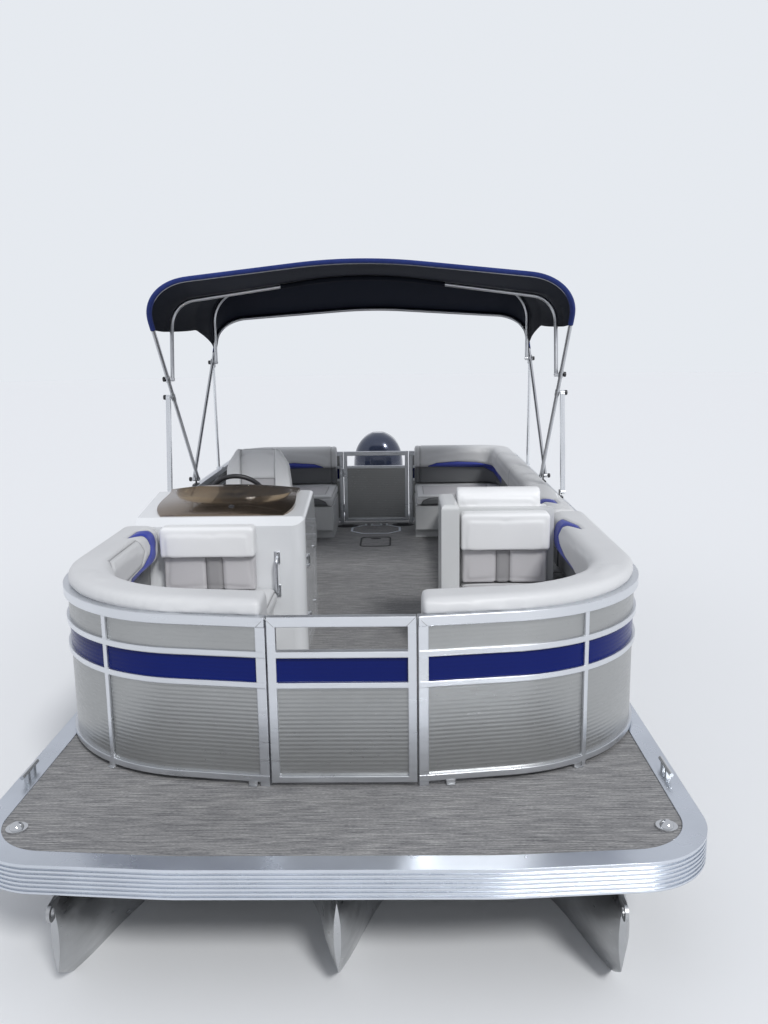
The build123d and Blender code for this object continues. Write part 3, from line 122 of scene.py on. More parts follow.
def embossed(tree, above, distance, *height):
    """Adds a bump that feeds the Normal of the node above; height is a node and its output, or a socket."""
    made = node(tree, "Bump", {"Distance": distance})
    wire(tree, (*height, made, "Height"), (made, 0, above, "Normal"))
    return made


def product(tree, *sources):
    """Gives the product of colours; each source is a socket."""
    result = sources[0]
    for source in sources[1:]:
        made = node(tree, "Mix", {"Factor": 1}, data_type="RGBA", blend_type="MULTIPLY")
        wire(tree, (result, made, "A"), (source, made, "B"))
        result = made.outputs["Result"]
    return result


def drawn_grain_group():
    """Drawn grain: noise pulled out along one direction, for rolled, brushed and extruded metal."""
    group = new_group(
        "drawn_grain",
        [("Stretch", "NodeSocketVector", (1, 1, 1)), ("Scale", "NodeSocketFloat", 60.0),
         ("Low", "NodeSocketFloat", 0.2), ("High", "NodeSocketFloat", 0.4)],
        [("Roughness", "NodeSocketFloat"), ("Height", "NodeSocketFloat")],
    )
    start, end = group.nodes["Group Input"], group.nodes["Group Output"]
    place = node(group, "TexCoord")
    turn = node(group, "VectorMath", operation="MULTIPLY")
    noise = node(group, "TexNoise", {"Detail": 5})
    spread = node(group, "MapRange", {"From Min": 0.3, "From Max": 0.7})
    wire(
        group,
        (place, "Object", turn, 0), (start, "Stretch", turn, 1), (turn, 0, noise, "Vector"),
        (start, "Scale", noise, "Scale"), (noise, "Fac", spread, "Value"), (start, "Low", spread, "To Min"),
        (start, "High", spread, "To Max"), (spread, 0, end, "Roughness"), (noise, "Fac", end, "Height"),
    )
    return group


def patches_group():
    """Patches: soft cloudy marks over a surface, as a mask from 0 to 1."""
    group = new_group(
        "cloudy_patches",
        [("Scale", "NodeSocketFloat", 2.3), ("From", "NodeSocketFloat", 0.35),
         ("To", "NodeSocketFloat", 0.6)],
        [("Mask", "NodeSocketFloat")],
    )
    start, end = group.nodes["Group Input"], group.nodes["Group Output"]
    noise = pattern(group, "Noise", {"Detail": 6})
    spread = node(group, "MapRange")
    wire(
        group,
        (start, "Scale", noise, "Scale"), (noise, "Fac", spread, "Value"), (spread, 0, end, "Mask"),
        (start, "From", spread, "From Min"), (start, "To", spread, "From Max"),
    )
    return group


drawn_grain = drawn_grain_group()
cloudy_patches = patches_group()


def patched(tree, colour, stain, scale=2.3):
    """Gives a colour that darkens in faint patches."""
    patch = node(tree, "Group", {"Scale": scale}, node_tree=cloudy_patches)
    dark = tuple(c * (1 - stain) for c in colour)
    return ramp(tree, patch.outputs["Mask"], [(0.0, dark), (1.0, colour)])


def metal(name, colour, stretch, scale, low, high, bump=0.0003, stain=0.12, edge=0.0):
    """Bare or anodised metal with a drawn grain and faint patches, and edges rounded by this much."""
    made, tree, shader = new_material(name, colour, high, 1.0)
    values = {"Stretch": stretch, "Scale": scale, "Low": low, "High": high}
    grain = node(tree, "Group", values, node_tree=drawn_grain)
    wire(tree, (patched(tree, colour, stain), shader, "Base Color"),
         (grain, "Roughness", shader, "Roughness"))
    relief = embossed(tree, shader, bump, grain, "Height")
    if edge:
        wire(tree, (node(tree, "Bevel", {"Radius": edge}, samples=6), 0, relief, "Normal"))
    return made


def dress(material, *names):
    """Gives CAD pieces this material."""
    for name in names:
        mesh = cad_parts[name].data
        mesh.materials.clear()
        mesh.materials.append(material)


def tube_skin():
    """Hull aluminium: rolled grain along the tube, stains, and a dull wet band low down."""
    made = metal("tube_skin", (0.58, 0.59, 0.60), (1, 0.06, 1), 40, 0.26, 0.48, stain=0.22)
    tree = made.node_tree
    shader = tree.nodes["Principled BSDF"]
    ragged = pattern(tree, "Noise", {"Scale": 7, "Detail": 5})
    split = node(tree, "SeparateXYZ")
    edge = node(tree, "Math", {1: 0.12}, operation="MULTIPLY_ADD")
    band = node(tree, "MapRange", {"From Min": -0.02, "From Max": 0.12, "To Min": 0.62, "To Max": 1.0})
    bare = shader.inputs["Base Color"].links[0].from_socket
    wire(
        tree,
        (node(tree, "TexCoord"), "Object", split, 0), (ragged, "Fac", edge, 0), (split, "Z", edge, 2),
        (edge, 0, band, "Value"), (product(tree, bare, band.outputs[0]), shader, "Base Color"),
    )
    return made


dress(tube_skin(), "port_tube", "starboard_tube", "centre_tube")

# Cross members and motor pod: folded and welded aluminium under the deck, left as it came from the mill.
# They carry the deck on the tubes, and the engine at the stern.

mill_metal = metal("mill_metal", (0.55, 0.56, 0.57), (0.08, 1, 1), 50, 0.35, 0.55, stain=0.2)
dress(mill_metal, "cross_members", "motor_pod")

# Deck: marine plywood under a woven vinyl with long grey streaks across the boat, glued down.
# The hatch lid and the small inspection plate are cut from the same covered board.


def woven_vinyl():
    """Woven vinyl: yarns across the boat, each its own grey, with a fine rib."""
    made, tree, shader = new_material("woven_vinyl", (0.3, 0.3, 0.31), 0.7)

    def yarn(stretch, scale, detail):
        turn = node(tree, "Mapping", {"Scale": stretch})
        noise = node(tree, "TexNoise", {"Scale": scale, "Detail": detail})
        wire(tree, (node(tree, "TexCoord"), "Object", turn, 0), (turn, 0, noise, "Vector"))
        return noise.outputs["Fac"]

    mix = node(tree, "Mix", {"Factor": 0.45}, data_type="FLOAT")
    wire(tree, (yarn((1, 22, 1), 11, 4), mix, "A"), (yarn((1, 9, 1), 70, 3), mix, "B"))
    greys = [(0.34, (0.085, 0.085, 0.09)), (0.47, (0.22, 0.22, 0.225)), (0.56, (0.34, 0.335, 0.33)),
             (0.68, (0.55, 0.55, 0.54))]
    tone = ramp(tree, yarn((0.5, 1, 1), 2.0, 3), [(0.3, 0.82), (0.7, 1.0)])
    rib = pattern(tree, "Wave", {"Scale": 110, "Distortion": 0.6}, bands_direction="Y")
    knot = pattern(tree, "Wave", {"Scale": 60}, bands_direction="X")
    height = node(tree, "Math", {1: 0.5}, operation="MULTIPLY_ADD")
    wire(tree, (product(tree, ramp(tree, mix.outputs[0], greys), tone), shader, "Base Color"),
         (knot, "Fac", height, 0), (rib, "Fac", height, 2))
    embossed(tree, shader, 0.0009, height, 0).inputs["Strength"].default_value = 0.7
    return made


deck_cloth = woven_vinyl()
dress(deck_cloth, "deck", "hatch_lid")

# Hatch trim: a bright flat frame, mitred round the lid's cut corners and screwed down on it.

stainless = metal("stainless", (0.70, 0.71, 0.72), (1, 1, 0.1), 60, 0.08, 0.18, bump=0.0001)


def alone(piece):
    """Leaves edit mode and selects this piece alone, as the active one."""
    if bpy.context.mode == "EDIT_MESH":
        bpy.ops.object.mode_set(mode="OBJECT")
    bpy.ops.object.select_all(action="DESELECT")
    piece.select_set(True)
    bpy.context.view_layer.objects.active = piece


def whole():
    """Selects all of the mesh in edit mode."""
    bpy.ops.mesh.select_all(action="SELECT")


def opened(piece):
    """Opens a piece in edit mode, with all of it selected."""
    alone(piece)
    bpy.ops.object.mode_set(mode="EDIT")
    whole()


def begin(name, primitive, **settings):
    """Adds a primitive, names it, and opens it in edit mode with nothing else selected."""
    bpy.ops.object.select_all(action="DESELECT")
    getattr(bpy.ops.mesh, f"primitive_{primitive}_add")(**settings)
    piece = bpy.context.object
    piece.name = piece.data.name = name
    bpy.ops.object.transform_apply(location=True, rotation=True, scale=True)
    bpy.ops.object.mode_set(mode="EDIT")
    return piece


def pick(piece, kind, test):
    """Selects, in edit mode, the faces or points of a piece that pass the test."""
    bpy.ops.object.mode_set(mode="OBJECT")
    mesh = piece.data
    for group in (mesh.vertices, mesh.edges, mesh.polygons):
        group.foreach_set("select", [False] * len(group))
    for item in mesh.polygons if kind == "FACE" else mesh.vertices:
        item.select = test(item.center, item.normal) if kind == "FACE" else test(item.co)
    bpy.ops.object.mode_set(mode="EDIT")
    bpy.ops.mesh.select_mode(type=kind)


def extrude(step):
    """Extrudes what is selected by this step."""
    bpy.ops.mesh.extrude_region_move(TRANSFORM_OT_translate={"value": step})


def face_out():
    """Turns all of the mesh's normals outward."""
    whole()
    bpy.ops.mesh.normals_make_consistent(inside=False)


def modified(piece, kind, **settings):
    """Leaves edit mode, adds a modifier with these settings and applies it."""
    alone(piece)
    change = piece.modifiers.new(kind.lower(), kind)
    for key, value in settings.items():
        setattr(change, key, value)
    bpy.ops.object.modifier_apply(modifier=change.name)


def rounded(piece, width, segments=2):
    """Rounds a piece's corners by a bevel of this width."""
    modified(piece, "BEVEL", width=width, segments=segments, limit_method="ANGLE")


def stud(name, middle, axis, vertices, radius, depth, steps, edge=0.0):
    """Makes a round head whose face, along this axis, is inset in steps of (width, rise)."""
    piece = begin(name, "cylinder", vertices=vertices, radius=radius, depth=depth, location=middle,
                  rotation=axis.to_track_quat("Z", "Y").to_euler())
    pick(piece, "FACE", lambda c, n: n.dot(axis) > 0.9)
    for width, rise in steps:
        bpy.ops.mesh.inset(thickness=width, depth=rise)
    if edge:
        rounded(piece, edge)
    return piece


def close(piece, material, body, angle=35):
    """Leaves edit mode, smooths a piece, gives it its material and puts it on its body."""
    alone(piece)
    bpy.ops.object.shade_smooth_by_angle(angle=math.radians(angle))
    piece.data.materials.clear()
    piece.data.materials.append(material)
    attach(piece, body)


def flat_ring(name, middle, size, corner, segments, width, rise):
    """Makes a flat frame of this outer size, with its corners cut or rounded, and leaves it open."""
    piece = begin(name, "plane", size=1, location=middle)
    bpy.ops.transform.resize(value=(*size, 1), center_override=middle)
    whole()
    bpy.ops.mesh.bevel(offset=corner, segments=segments, affect="VERTICES")
    whole()
    bpy.ops.mesh.inset(thickness=width)
    bpy.ops.mesh.delete(type="FACE")
    whole()
    extrude((0, 0, rise))
    face_out()
    return piece


satin_trim = metal("satin_trim", (0.80, 0.84, 0.90), (1, 1, 1), 60, 0.55, 0.7)
lid_low, lid_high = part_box("hatch_lid")
deck_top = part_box("deck")[1].z
trim_width = 0.020
trim_rise = 0.0015
corner_cut = 0.110 * 0.98
lid_size = (lid_high.x - lid_low.x, 0.386)
lid_middle = Vector((0, lid_low.y + lid_size[1] / 2, deck_top))
hatch_trim = flat_ring("hatch_trim", lid_middle, lid_size, corner_cut, 1, trim_width, trim_rise)
close(hatch_trim, satin_trim, "hatch")

# Rigging boots: two low moulded rubber covers inside the stern gate, where hoses pass through the deck.
# They are screwed down, and low enough for the gate to swing over them.

rubber, tree, shader = new_material("black_rubber", (0.018, 0.018, 0.02), 0.6)
embossed(tree, shader, 0.0006, pattern(tree, "Noise", {"Scale": 420, "Detail": 3}), "Fac")
wire(tree, (patched(tree, (0.022, 0.022, 0.024), 0.3, 9), shader, "Base Color"))

for side, boot_x, boot_y in (("port", 0.249, 2.40), ("starboard", -0.267, 2.36)):
    middle = Vector((boot_x, boot_y, deck_top + 0.0025))
    boot = begin(f"{side}_rigging_boot", "cylinder", vertices=40, radius=0.1, depth=0.005, location=middle)
    bpy.ops.transform.resize(value=(1, 0.62, 1), center_override=middle)
    for shrink, lift in ((0.86, 0.004), (0.62, 0.004), (0.34, 0.001)):
        pick(boot, "FACE", lambda c, n: n.z > 0.9 and c.z > deck_top + 0.004)
        extrude((0, 0, lift))
        bpy.ops.transform.resize(value=(shrink, shrink, 1), center_override=middle)
        middle = Vector((boot_x, boot_y, middle.z))
    rounded(boot, 0.0015, 3)
    close(boot, rubber, "root")

# Access plate: a rubber gasket with rounded corners round the small plate ahead of the hatch.
# Its finger pull is a low black oval.

plate_x = 0.010
plate_size = (0.266, 0.376)
gasket_width = 0.014
gasket_rise = 0.003
plate_middle = Vector((plate_x, 1.675, deck_top))
gasket = flat_ring("access_gasket", plate_middle, plate_size, 0.052, 6, gasket_width, gasket_rise)
close(gasket, rubber, "root")
pull_middle = Vector((plate_x, 1.790, deck_top + 0.002))
pull = begin("access_pull", "cylinder", vertices=32, radius=0.5, depth=0.004, location=pull_middle,
             scale=(0.088, 0.032, 1))
pick(pull, "FACE", lambda c, n: n.z > 0.9)
bpy.ops.mesh.inset(thickness=0.005, depth=0.001)
rounded(pull, 0.0008)
close(pull, rubber, "root")

# Rub rail: an anodised extrusion with fine ribs and a flat lip, bent round the deck and screwed to its edge.

rub_metal = metal("rub_metal", (0.74, 0.78, 0.84), (0.05, 0.05, 1), 80, 0.22, 0.36, edge=0.003)
dress(rub_metal, "rub_rail")

# Deck fittings, ladder and chair pedestal: polished stainless steel, bolted through the deck.

dress(stainless, "deck_fittings", "ladder_upper", "ladder_lower", "chair_pedestal")

# Fence and gates: square aluminium tube, mitred and welded, then anodised pale silver.

rail_metal = metal("rail_metal", (0.76, 0.78, 0.81), (0.1, 0.1, 1), 70, 0.26, 0.40, stain=0.06, edge=0.006)
sides = ("port", "starboard")
dress(rail_metal, *(f"{side}_{part}_fence" for side in sides for part in ("bow", "side", "stern")),
      "bow_gate", "stern_gate", "fixed_hinges")

# Rail brackets and mitre seams: small cast feet screwed to the deck under the bow rails, and weld beads.
# Each foot fills the gap under the rail; each bead runs across a mitred corner from outside to inside.


def copied(shape, name, turn):
    """Makes a piece from its own copy of this mesh, moved by this matrix."""
    mesh = shape.copy()
    mesh.name = name
    mesh.transform(turn)
    piece = bpy.data.objects.new(name, mesh)
    bpy.context.scene.collection.objects.link(piece)
    return piece


def kept_shape(master):
    """Gives a finished shape's mesh to copy, and takes its own piece away."""
    alone(master)
    shape = master.data.copy()
    bpy.data.objects.remove(master)
    return shape


def front_of(name, x, z):
    """Gives the spot and the normal where a line from ahead of the bow meets a CAD piece."""
    skin = BVHTree.FromObject(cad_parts[name], bpy.context.evaluated_depsgraph_get())
    spot, normal, _, _ = skin.ray_cast(Vector((x, -4, z)), Vector((0, 1, 0)))
    return spot, normal


rail_gap = 0.018
foot_size = Vector((0.036, 0.026, rail_gap))
master = begin("rail_bracket", "cube", size=1, location=(0, foot_size.y / 2, rail_gap / 2), scale=foot_size)
whole()
bpy.ops.mesh.bisect(plane_co=(0, 0, 0.004), plane_no=(0, 0, 1))
pick(master, "FACE", lambda c, n: n.y < -0.9 and c.z < 0.004)
extrude((0, -0.012, 0))
rounded(master, 0.0012)
bracket_mesh = kept_shape(master)
for side, sign, places in (("port", 1, (0.410, 0.925)), ("starboard", -1, (0.355, 0.955))):
    for number, reach in enumerate(places, 1):
        spot, normal = front_of(f"{side}_bow_fence", sign * reach, deck_top + rail_gap + 0.012)
        turn = Matrix.Rotation(math.atan2(normal.x, -normal.y), 4, "Z")
        move = Matrix.Translation((spot.x, spot.y, deck_top))
        bracket = copied(bracket_mesh, f"{side}_rail_bracket_{number}", move @ turn)
        close(bracket, mill_metal, "root")

rail_width = 0.038
master = begin("mitre_seam", "cube", size=1, scale=(rail_width * 1.38, 0.0008, 0.0026))
pick(master, "FACE", lambda c, n: n.y < -0.9)
bpy.ops.mesh.inset(thickness=0.0008)
bpy.ops.transform.translate(value=(0, -0.0004, 0))
seam_mesh = kept_shape(master)
gate_low, gate_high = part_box("bow_gate")
mitres = (
    ("port_rail", "port_bow_fence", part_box("port_bow_fence")[0].x, 1, "root"),
    ("starboard_rail", "starboard_bow_fence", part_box("starboard_bow_fence")[1].x, -1, "root"),
    ("gate_port", "bow_gate", gate_high.x, -1, "bow_gate"),
    ("gate_starboard", "bow_gate", gate_low.x, 1, "bow_gate"),
)
for name, source, corner_x, sign, body in mitres:
    half = rail_width / 2
    spot, _ = front_of(source, corner_x + sign * half, gate_high.z - half)
    turn = Matrix.Rotation(math.radians(45 * sign), 4, "Y")
    seam = copied(seam_mesh, f"{name}_mitre_seam", Matrix.Translation(spot) @ turn)
    close(seam, mill_metal, body)

# Panels: thin aluminium sheet with rolled horizontal ribs, silver below and above, blue in the stripe.
# The same sheet fills the gates; it is painted, and held in the rails' grooves.


def ribbed_sheet(name, colour, roughness, metallic, rib=0.0004, shine=0.5, coat=0.15):
    """Painted sheet with gentle horizontal ribs and a slow waviness in its skin."""
    finish = {"Specular IOR Level": shine, "Coat Weight": coat, "Coat Roughness": 0.12}
    made, tree, shader = new_material(name, colour, roughness, metallic, finish)
    ribs = pattern(tree, "Wave", {"Scale": 18.5}, bands_direction="Z")
    slow = pattern(tree, "Noise", {"Scale": 1.3, "Detail": 1})
    values = {"Stretch": (0.2, 0.2, 1), "Scale": 160, "Low": roughness * 0.8, "High": roughness * 1.25}
    grain = node(tree, "Group", values, node_tree=drawn_grain)
    wire(tree, (patched(tree, colour, 0.1, 1.6), shader, "Base Color"),
         (grain, "Roughness", shader, "Roughness"))
    embossed(tree, embossed(tree, shader, rib, ribs, "Fac"), 0.02, slow, "Fac")
    return made


silver_sheet = ribbed_sheet("silver_sheet", (0.40, 0.405, 0.40), 0.34, 0.85)
blue_sheet = ribbed_sheet("blue_sheet", (0.0015, 0.009, 0.115), 0.20, 0.0, shine=0.15, coat=0.02)
dress(silver_sheet, "port_panels", "starboard_panels")
dress(blue_sheet, "port_stripe", "starboard_stripe")


def paint(name, material, belongs):
    """Gives this material to the faces of a CAD piece that pass the test."""
    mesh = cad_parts[name].data
    mesh.materials.append(material)
    number = len(mesh.materials) - 1
    for face in mesh.polygons:
        if belongs(face.center, face.normal):
            face.material_index = number


sheet_depth = 0.016
stripe_levels = (0.422, 0.520)
for gate, sheet_y in (("bow_gate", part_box("bow_gate")[0].y + sheet_depth),
                      ("stern_gate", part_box("stern_gate")[1].y - sheet_depth)):
    paint(gate, silver_sheet, lambda c, n: abs(c.y - sheet_y) < 0.0025 and abs(n.y) > 0.9)
    if gate == "bow_gate":
        paint(gate, blue_sheet, lambda c, n: abs(c.y - sheet_y) < 0.0025 and abs(n.y) > 0.9
              and stripe_levels[0] < c.z - deck_top < stripe_levels[1])

# Lounge bases: rotomoulded white plastic with rounded arms and a toe recess, screwed to the deck.


def moulded(name, colour, roughness, peel=0.0002, coat=0.3):
    """Smooth moulding with an orange-peel skin, faint patches and a clear gloss."""
    finish = {"Coat Weight": coat, "Coat Roughness": 0.06}
    made, tree, shader = new_material(name, colour, roughness, 0, finish)
    slow = pattern(tree, "Noise", {"Scale": 5, "Detail": 2})
    spread = node(tree, "MapRange", {"To Min": roughness * 0.8, "To Max": roughness * 1.3})
    wire(tree, (patched(tree, colour, 0.05, 1.7), shader, "Base Color"),
         (slow, "Fac", spread, "Value"), (spread, 0, shader, "Roughness"))
    embossed(tree, shader, peel, pattern(tree, "Noise", {"Scale": 260, "Detail": 2}), "Fac")
    return made


base_plastic = moulded("base_plastic", (0.60, 0.61, 0.61), 0.34)
dress(base_plastic, "port_bow_base", "starboard_bow_base", "port_stern_base", "starboard_stern_base")

# Lounge cushions: foam under marine vinyl, sewn from light, grey and blue panels and drawn in at each seam.
# Each cover is pulled over its foam and stapled below: it crowns between its seams and lies flat on its base.

light_vinyl = (0.63, 0.635, 0.64)
panel_vinyl = (0.52, 0.51, 0.52)
stripe_vinyl = (0.30, 0.295, 0.30)
dark_vinyl = (0.125, 0.13, 0.135)
blue_vinyl = (0.035, 0.055, 0.36)
zones = ("panel", "stripe", "dark", "accent")
seams = ("seam_one", "seam_two")


def sewing_group():
    """Sewing: reads a cover's zones and seams, and gives the zones' masks, the painted shade in the seams'
    grooves, and the seams' height.
    """
    outputs = [(zone.title(), "NodeSocketFloat") for zone in zones]
    outputs += [("Shade", "NodeSocketFloat"), ("Height", "NodeSocketFloat")]
    group = new_group("sewing", [("Reach", "NodeSocketFloat", 0.02)], outputs)
    start, end = group.nodes["Group Input"], group.nodes["Group Output"]
    nearest = None
    for name in zones + seams:
        distance = node(group, "Attribute", attribute_name=name)
        if name in zones:
            inside = node(group, "Math", {1: 0.0}, operation="GREATER_THAN")
            wire(group, (distance, "Fac", inside, 0), (inside, 0, end, name.title()))
        size = node(group, "Math", operation="ABSOLUTE")
        wire(group, (distance, "Fac", size, 0))
        if nearest is None:
            nearest = size
            continue
        least = node(group, "Math", operation="MINIMUM")
        wire(group, (nearest, 0, least, 0), (size, 0, least, 1))
        nearest = least
    share = node(group, "Math", operation="DIVIDE")
    wire(group, (nearest, 0, share, 0), (start, "Reach", share, 1))
    # The shade ramp darkens the colour to 0.4 along each seam: painted shade in the drawn-in groove.
    shades = [(0.0, 0.4), (0.07, 0.55), (0.14, 0.94), (0.3, 1.0), (0.36, 0.93), (0.42, 1.0)]
    heights = [(0.0, 0.0), (0.1, 0.15), (0.26, 0.8), (0.33, 0.74), (0.37, 0.62), (0.42, 0.8), (1.0, 1.0)]
    wire(group, (ramp(group, share.outputs[0], shades), end, "Shade"),
         (ramp(group, share.outputs[0], heights), end, "Height"))
    return group


def hide_grain_group():
    """Vinyl grain: small rounded cells with fine creases between them, over slow dents."""
    outputs = [("Height", "NodeSocketFloat"), ("Gloss", "NodeSocketFloat")]
    group = new_group("hide_grain", [("Cells", "NodeSocketFloat", 620.0)], outputs)
    start, end = group.nodes["Group Input"], group.nodes["Group Output"]
    wobble = pattern(group, "Noise", {"Scale": 60, "Detail": 2})
    shift = node(group, "VectorMath", {"Scale": 0.004}, operation="SCALE")
    moved = node(group, "VectorMath", operation="ADD")
    cells = node(group, "TexVoronoi", {"Randomness": 1.0}, feature="SMOOTH_F1")
    slow = pattern(group, "Noise", {"Scale": 3.5, "Detail": 2})
    mix = node(group, "Math", {1: 0.05}, operation="MULTIPLY_ADD")
    gloss = node(group, "MapRange", {"From Min": 0.3, "From Max": 0.7, "To Min": 0.38, "To Max": 0.52})
    wire(
        group,
        (wobble, "Color", shift, 0), (node(group, "TexCoord"), "Object", moved, 0), (shift, 0, moved, 1),
        (moved, 0, cells, "Vector"), (start, "Cells", cells, "Scale"), (cells, "Distance", mix, 0),
        (slow, "Fac", mix, 2), (mix, 0, end, "Height"), (slow, "Fac", gloss, "Value"),
        (gloss, 0, end, "Gloss"),
    )
    return group


sewing = sewing_group()
hide_grain = hide_grain_group()


def sewn_vinyl(name, light):
    """Marine vinyl whose panels, stripes, accents and seams follow the cover's own attributes."""
    made, tree, shader = new_material(name, light, 0.45, 0, {"Sheen Weight": 0.08})
    cover = node(tree, "Group", {"Reach": 0.02}, node_tree=sewing)
    grain = node(tree, "Group", {"Cells": 620}, node_tree=hide_grain)
    colour = patched(tree, light, 0.07, 1.5)
    for zone, shade in zip(zones, (panel_vinyl, stripe_vinyl, dark_vinyl, blue_vinyl)):
        mix = node(tree, "Mix", {"B": (*shade, 1)}, data_type="RGBA")
        wire(tree, (cover, zone.title(), mix, "Factor"), (colour, mix, "A"))
        colour = mix.outputs["Result"]
    # The seams' Shade multiplies the colour: painted shade along the grooves.
    wire(tree, (product(tree, colour, cover.outputs["Shade"]), shader, "Base Color"),
         (grain, "Gloss", shader, "Roughness"))
    embossed(tree, embossed(tree, shader, 0.004, cover, "Height"), 0.003, grain, "Height")
    return made


cover_vinyl = sewn_vinyl("cover_vinyl", light_vinyl)
# The same vinyl with its light colour raised from 0.63 to 0.80: painted sunlight on the backrest pillows, the
# headrest and the helm chair.
painted_sunlit_vinyl = sewn_vinyl("painted_sunlit_vinyl", (0.80, 0.805, 0.81))


def soft_copy(name, source):
    """Copies a CAD cushion's skin into a new piece and joins its loose triangles."""
    piece = copied(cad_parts[source].data, name, Matrix())
    opened(piece)
    bpy.ops.mesh.remove_doubles(threshold=0.0002)
    bpy.ops.object.mode_set(mode="OBJECT")
    return piece


def points_of(piece):
    """Gives a mesh's points and their normals as arrays."""
    count = len(piece.data.vertices)
    places, normals = np.empty(count * 3), np.empty(count * 3)
    piece.data.vertices.foreach_get("co", places)
    piece.data.vertices.foreach_get("normal", normals)
    return places.reshape(-1, 3), normals.reshape(-1, 3)


def place_points(piece, places):
    """Moves a mesh's points to these places."""
    piece.data.vertices.foreach_set("co", np.asarray(places, float).ravel())
    piece.data.update()


def stuffed(source, voxel, draw_in=0.010, proud=0.004, cap=0.016, softness=4, cut=None):
    """Makes a stuffed cover from a CAD cushion: drawn in, blown up as cloth, and kept to its space."""
    piece = soft_copy(f"{source}_cover", source)
    if cut:
        opened(piece)
        bpy.ops.mesh.bisect(plane_co=cut, plane_no=(0, 0, 1), clear_inner=True, use_fill=True)
        bpy.ops.object.mode_set(mode="OBJECT")
    mould = BVHTree.FromPolygons([v.co.copy() for v in piece.data.vertices],
                                 [tuple(f.vertices) for f in piece.data.polygons])
    modified(piece, "REMESH", mode="VOXEL", voxel_size=voxel, use_smooth_shade=True)
    modified(piece, "SMOOTH", factor=0.5, iterations=softness)
    places, normals = points_of(piece)
    slim = places - normals * draw_in
    place_points(piece, slim)
    cloth = piece.modifiers.new("cloth", "CLOTH")
    cloth.settings.quality = 4
    cloth.settings.use_pressure = True
    cloth.settings.uniform_pressure_force = 4
    cloth.settings.effector_weights.gravity = 0
    cloth.point_cache.frame_start = 1
    cloth.point_cache.frame_end = 20
    for step in range(1, 21):
        bpy.context.scene.frame_set(step)
    bpy.context.view_layer.objects.active = piece
    bpy.ops.object.modifier_apply(modifier="cloth")
    bpy.context.scene.frame_set(1)
    swollen, _ = points_of(piece)
    move = swollen - slim
    outward = (move * normals).sum(axis=1, keepdims=True)
    sideways = move - normals * outward
    move = normals * np.clip(outward, draw_in * 0.8, cap) + 0.25 * sideways
    length = np.linalg.norm(move, axis=1, keepdims=True)
    swollen = slim + move * np.minimum(1, cap / np.maximum(length, 1e-6))
    kept = []
    for point in swollen:
        spot, normal, _, _ = mould.find_nearest(Vector(point))
        out = (Vector(point) - spot).dot(normal)
        most = proud if normal.z > -0.5 else 0.0
        kept.append(spot + normal * most if out > most else Vector(point))
    place_points(piece, kept)
    modified(piece, "SMOOTH", factor=0.5, iterations=2)
    modified(piece, "SUBSURF", levels=1, render_levels=1)
    return piece


def mark(piece, rules, depth):
    """Writes a cover's zones and seams as signed distances, and draws its skin in along them."""
    places, normals = points_of(piece)
    near = np.full(len(places), 1.0)
    for name in zones + seams:
        rule = rules.get(name)
        values = np.array([rule(*p) for p in places]) if rule else np.full(len(places), -1.0)
        made = piece.data.attributes.new(name, "FLOAT", "POINT")
        made.data.foreach_set("value", values.astype(np.float32))
        near = np.minimum(near, np.abs(values))
    place_points(piece, places - normals * (depth * np.exp(-((near / 0.011) ** 2)))[:, None])


def upholster(piece, source, rules, depth=0.006, body="root", vinyl=cover_vinyl):
    """Finishes a stuffed cover: its seams, its vinyl, its body, and the CAD cushion it stands for."""
    mark(piece, rules, depth)
    alone(piece)
    bpy.ops.object.shade_smooth()
    piece.data.materials.clear()
    piece.data.materials.append(vinyl)
    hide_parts(source)
    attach(piece, body)


def inside_of(points):
    """Gives a function for the signed distance to a closed outline, positive inside."""
    corners = [Vector(p) for p in points]
    edges = list(zip(corners, corners[1:] + corners[:1]))

    def distance(u, v):
        spot = Vector((u, v))
        nearest = 1.0
        within = False
        for a, b in edges:
            along = b - a
            share = max(0.0, min(1.0, (spot - a).dot(along) / along.length_squared))
            nearest = min(nearest, (spot - a - along * share).length)
            if (a.y > v) != (b.y > v) and u < a.x + (v - a.y) * (b.x - a.x) / (b.y - a.y):
                within = not within
        return nearest if within else -nearest

    return distance


def zigzag(value, pitch):
    """Gives the signed distance to the nearest of many even lines, changing sign at each one."""
    share = value / pitch
    return (abs((share % 2) - 1) - 0.5) * pitch


roll_low = 1.047
roll_ridge = 1.095


def fence_bolsters():
    """Bow bolsters: a roll over the rail with a blue accent down its inner face, and a grey pad below."""
    port_accent = inside_of(
        [(-1.300, 0.790), (-1.100, 0.740), (-1.045, 0.680), (-1.040, 0.620), (-1.100, 0.572), (-1.300, 0.537),
         (-1.560, 0.526), (-1.620, 0.572), (-1.380, 0.588), (-1.245, 0.615), (-1.190, 0.655), (-1.225, 0.715),
         (-1.400, 0.790)])
    starboard_accent = inside_of(
        [(-1.520, 0.785), (-1.350, 0.785), (-1.290, 0.730), (-1.255, 0.655), (-1.290, 0.590), (-1.390, 0.540),
         (-1.660, 0.524), (-1.720, 0.575), (-1.520, 0.592), (-1.405, 0.625), (-1.370, 0.665),
         (-1.410, 0.725)])
    patch = inside_of(
        [(-2.02, 0.600), (-1.97, 0.575), (-1.56, 0.600), (-1.49, 0.660), (-1.53, 0.730), (-1.96, 0.730),
         (-2.02, 0.700)])
    for side, sign, accent in (("port", 1, port_accent), ("starboard", -1, starboard_accent)):
        source = f"{side}_bow_bolster"
        cover = stuffed(source, 0.016, softness=9)

        def girth(x, z):
            return z - 0.5 + max(0.0, sign * x - roll_ridge)

        rules = {
            "dark": lambda x, y, z: roll_low - 0.004 - z,
            "accent": lambda x, y, z: accent(y, girth(x, z)) if y > -1.9 else -1.0,
            "seam_one": lambda x, y, z: patch(y, girth(x, z)) if y > -2.15 and sign < 0 else -1.0,
        }
        upholster(cover, source, rules)


fence_bolsters()


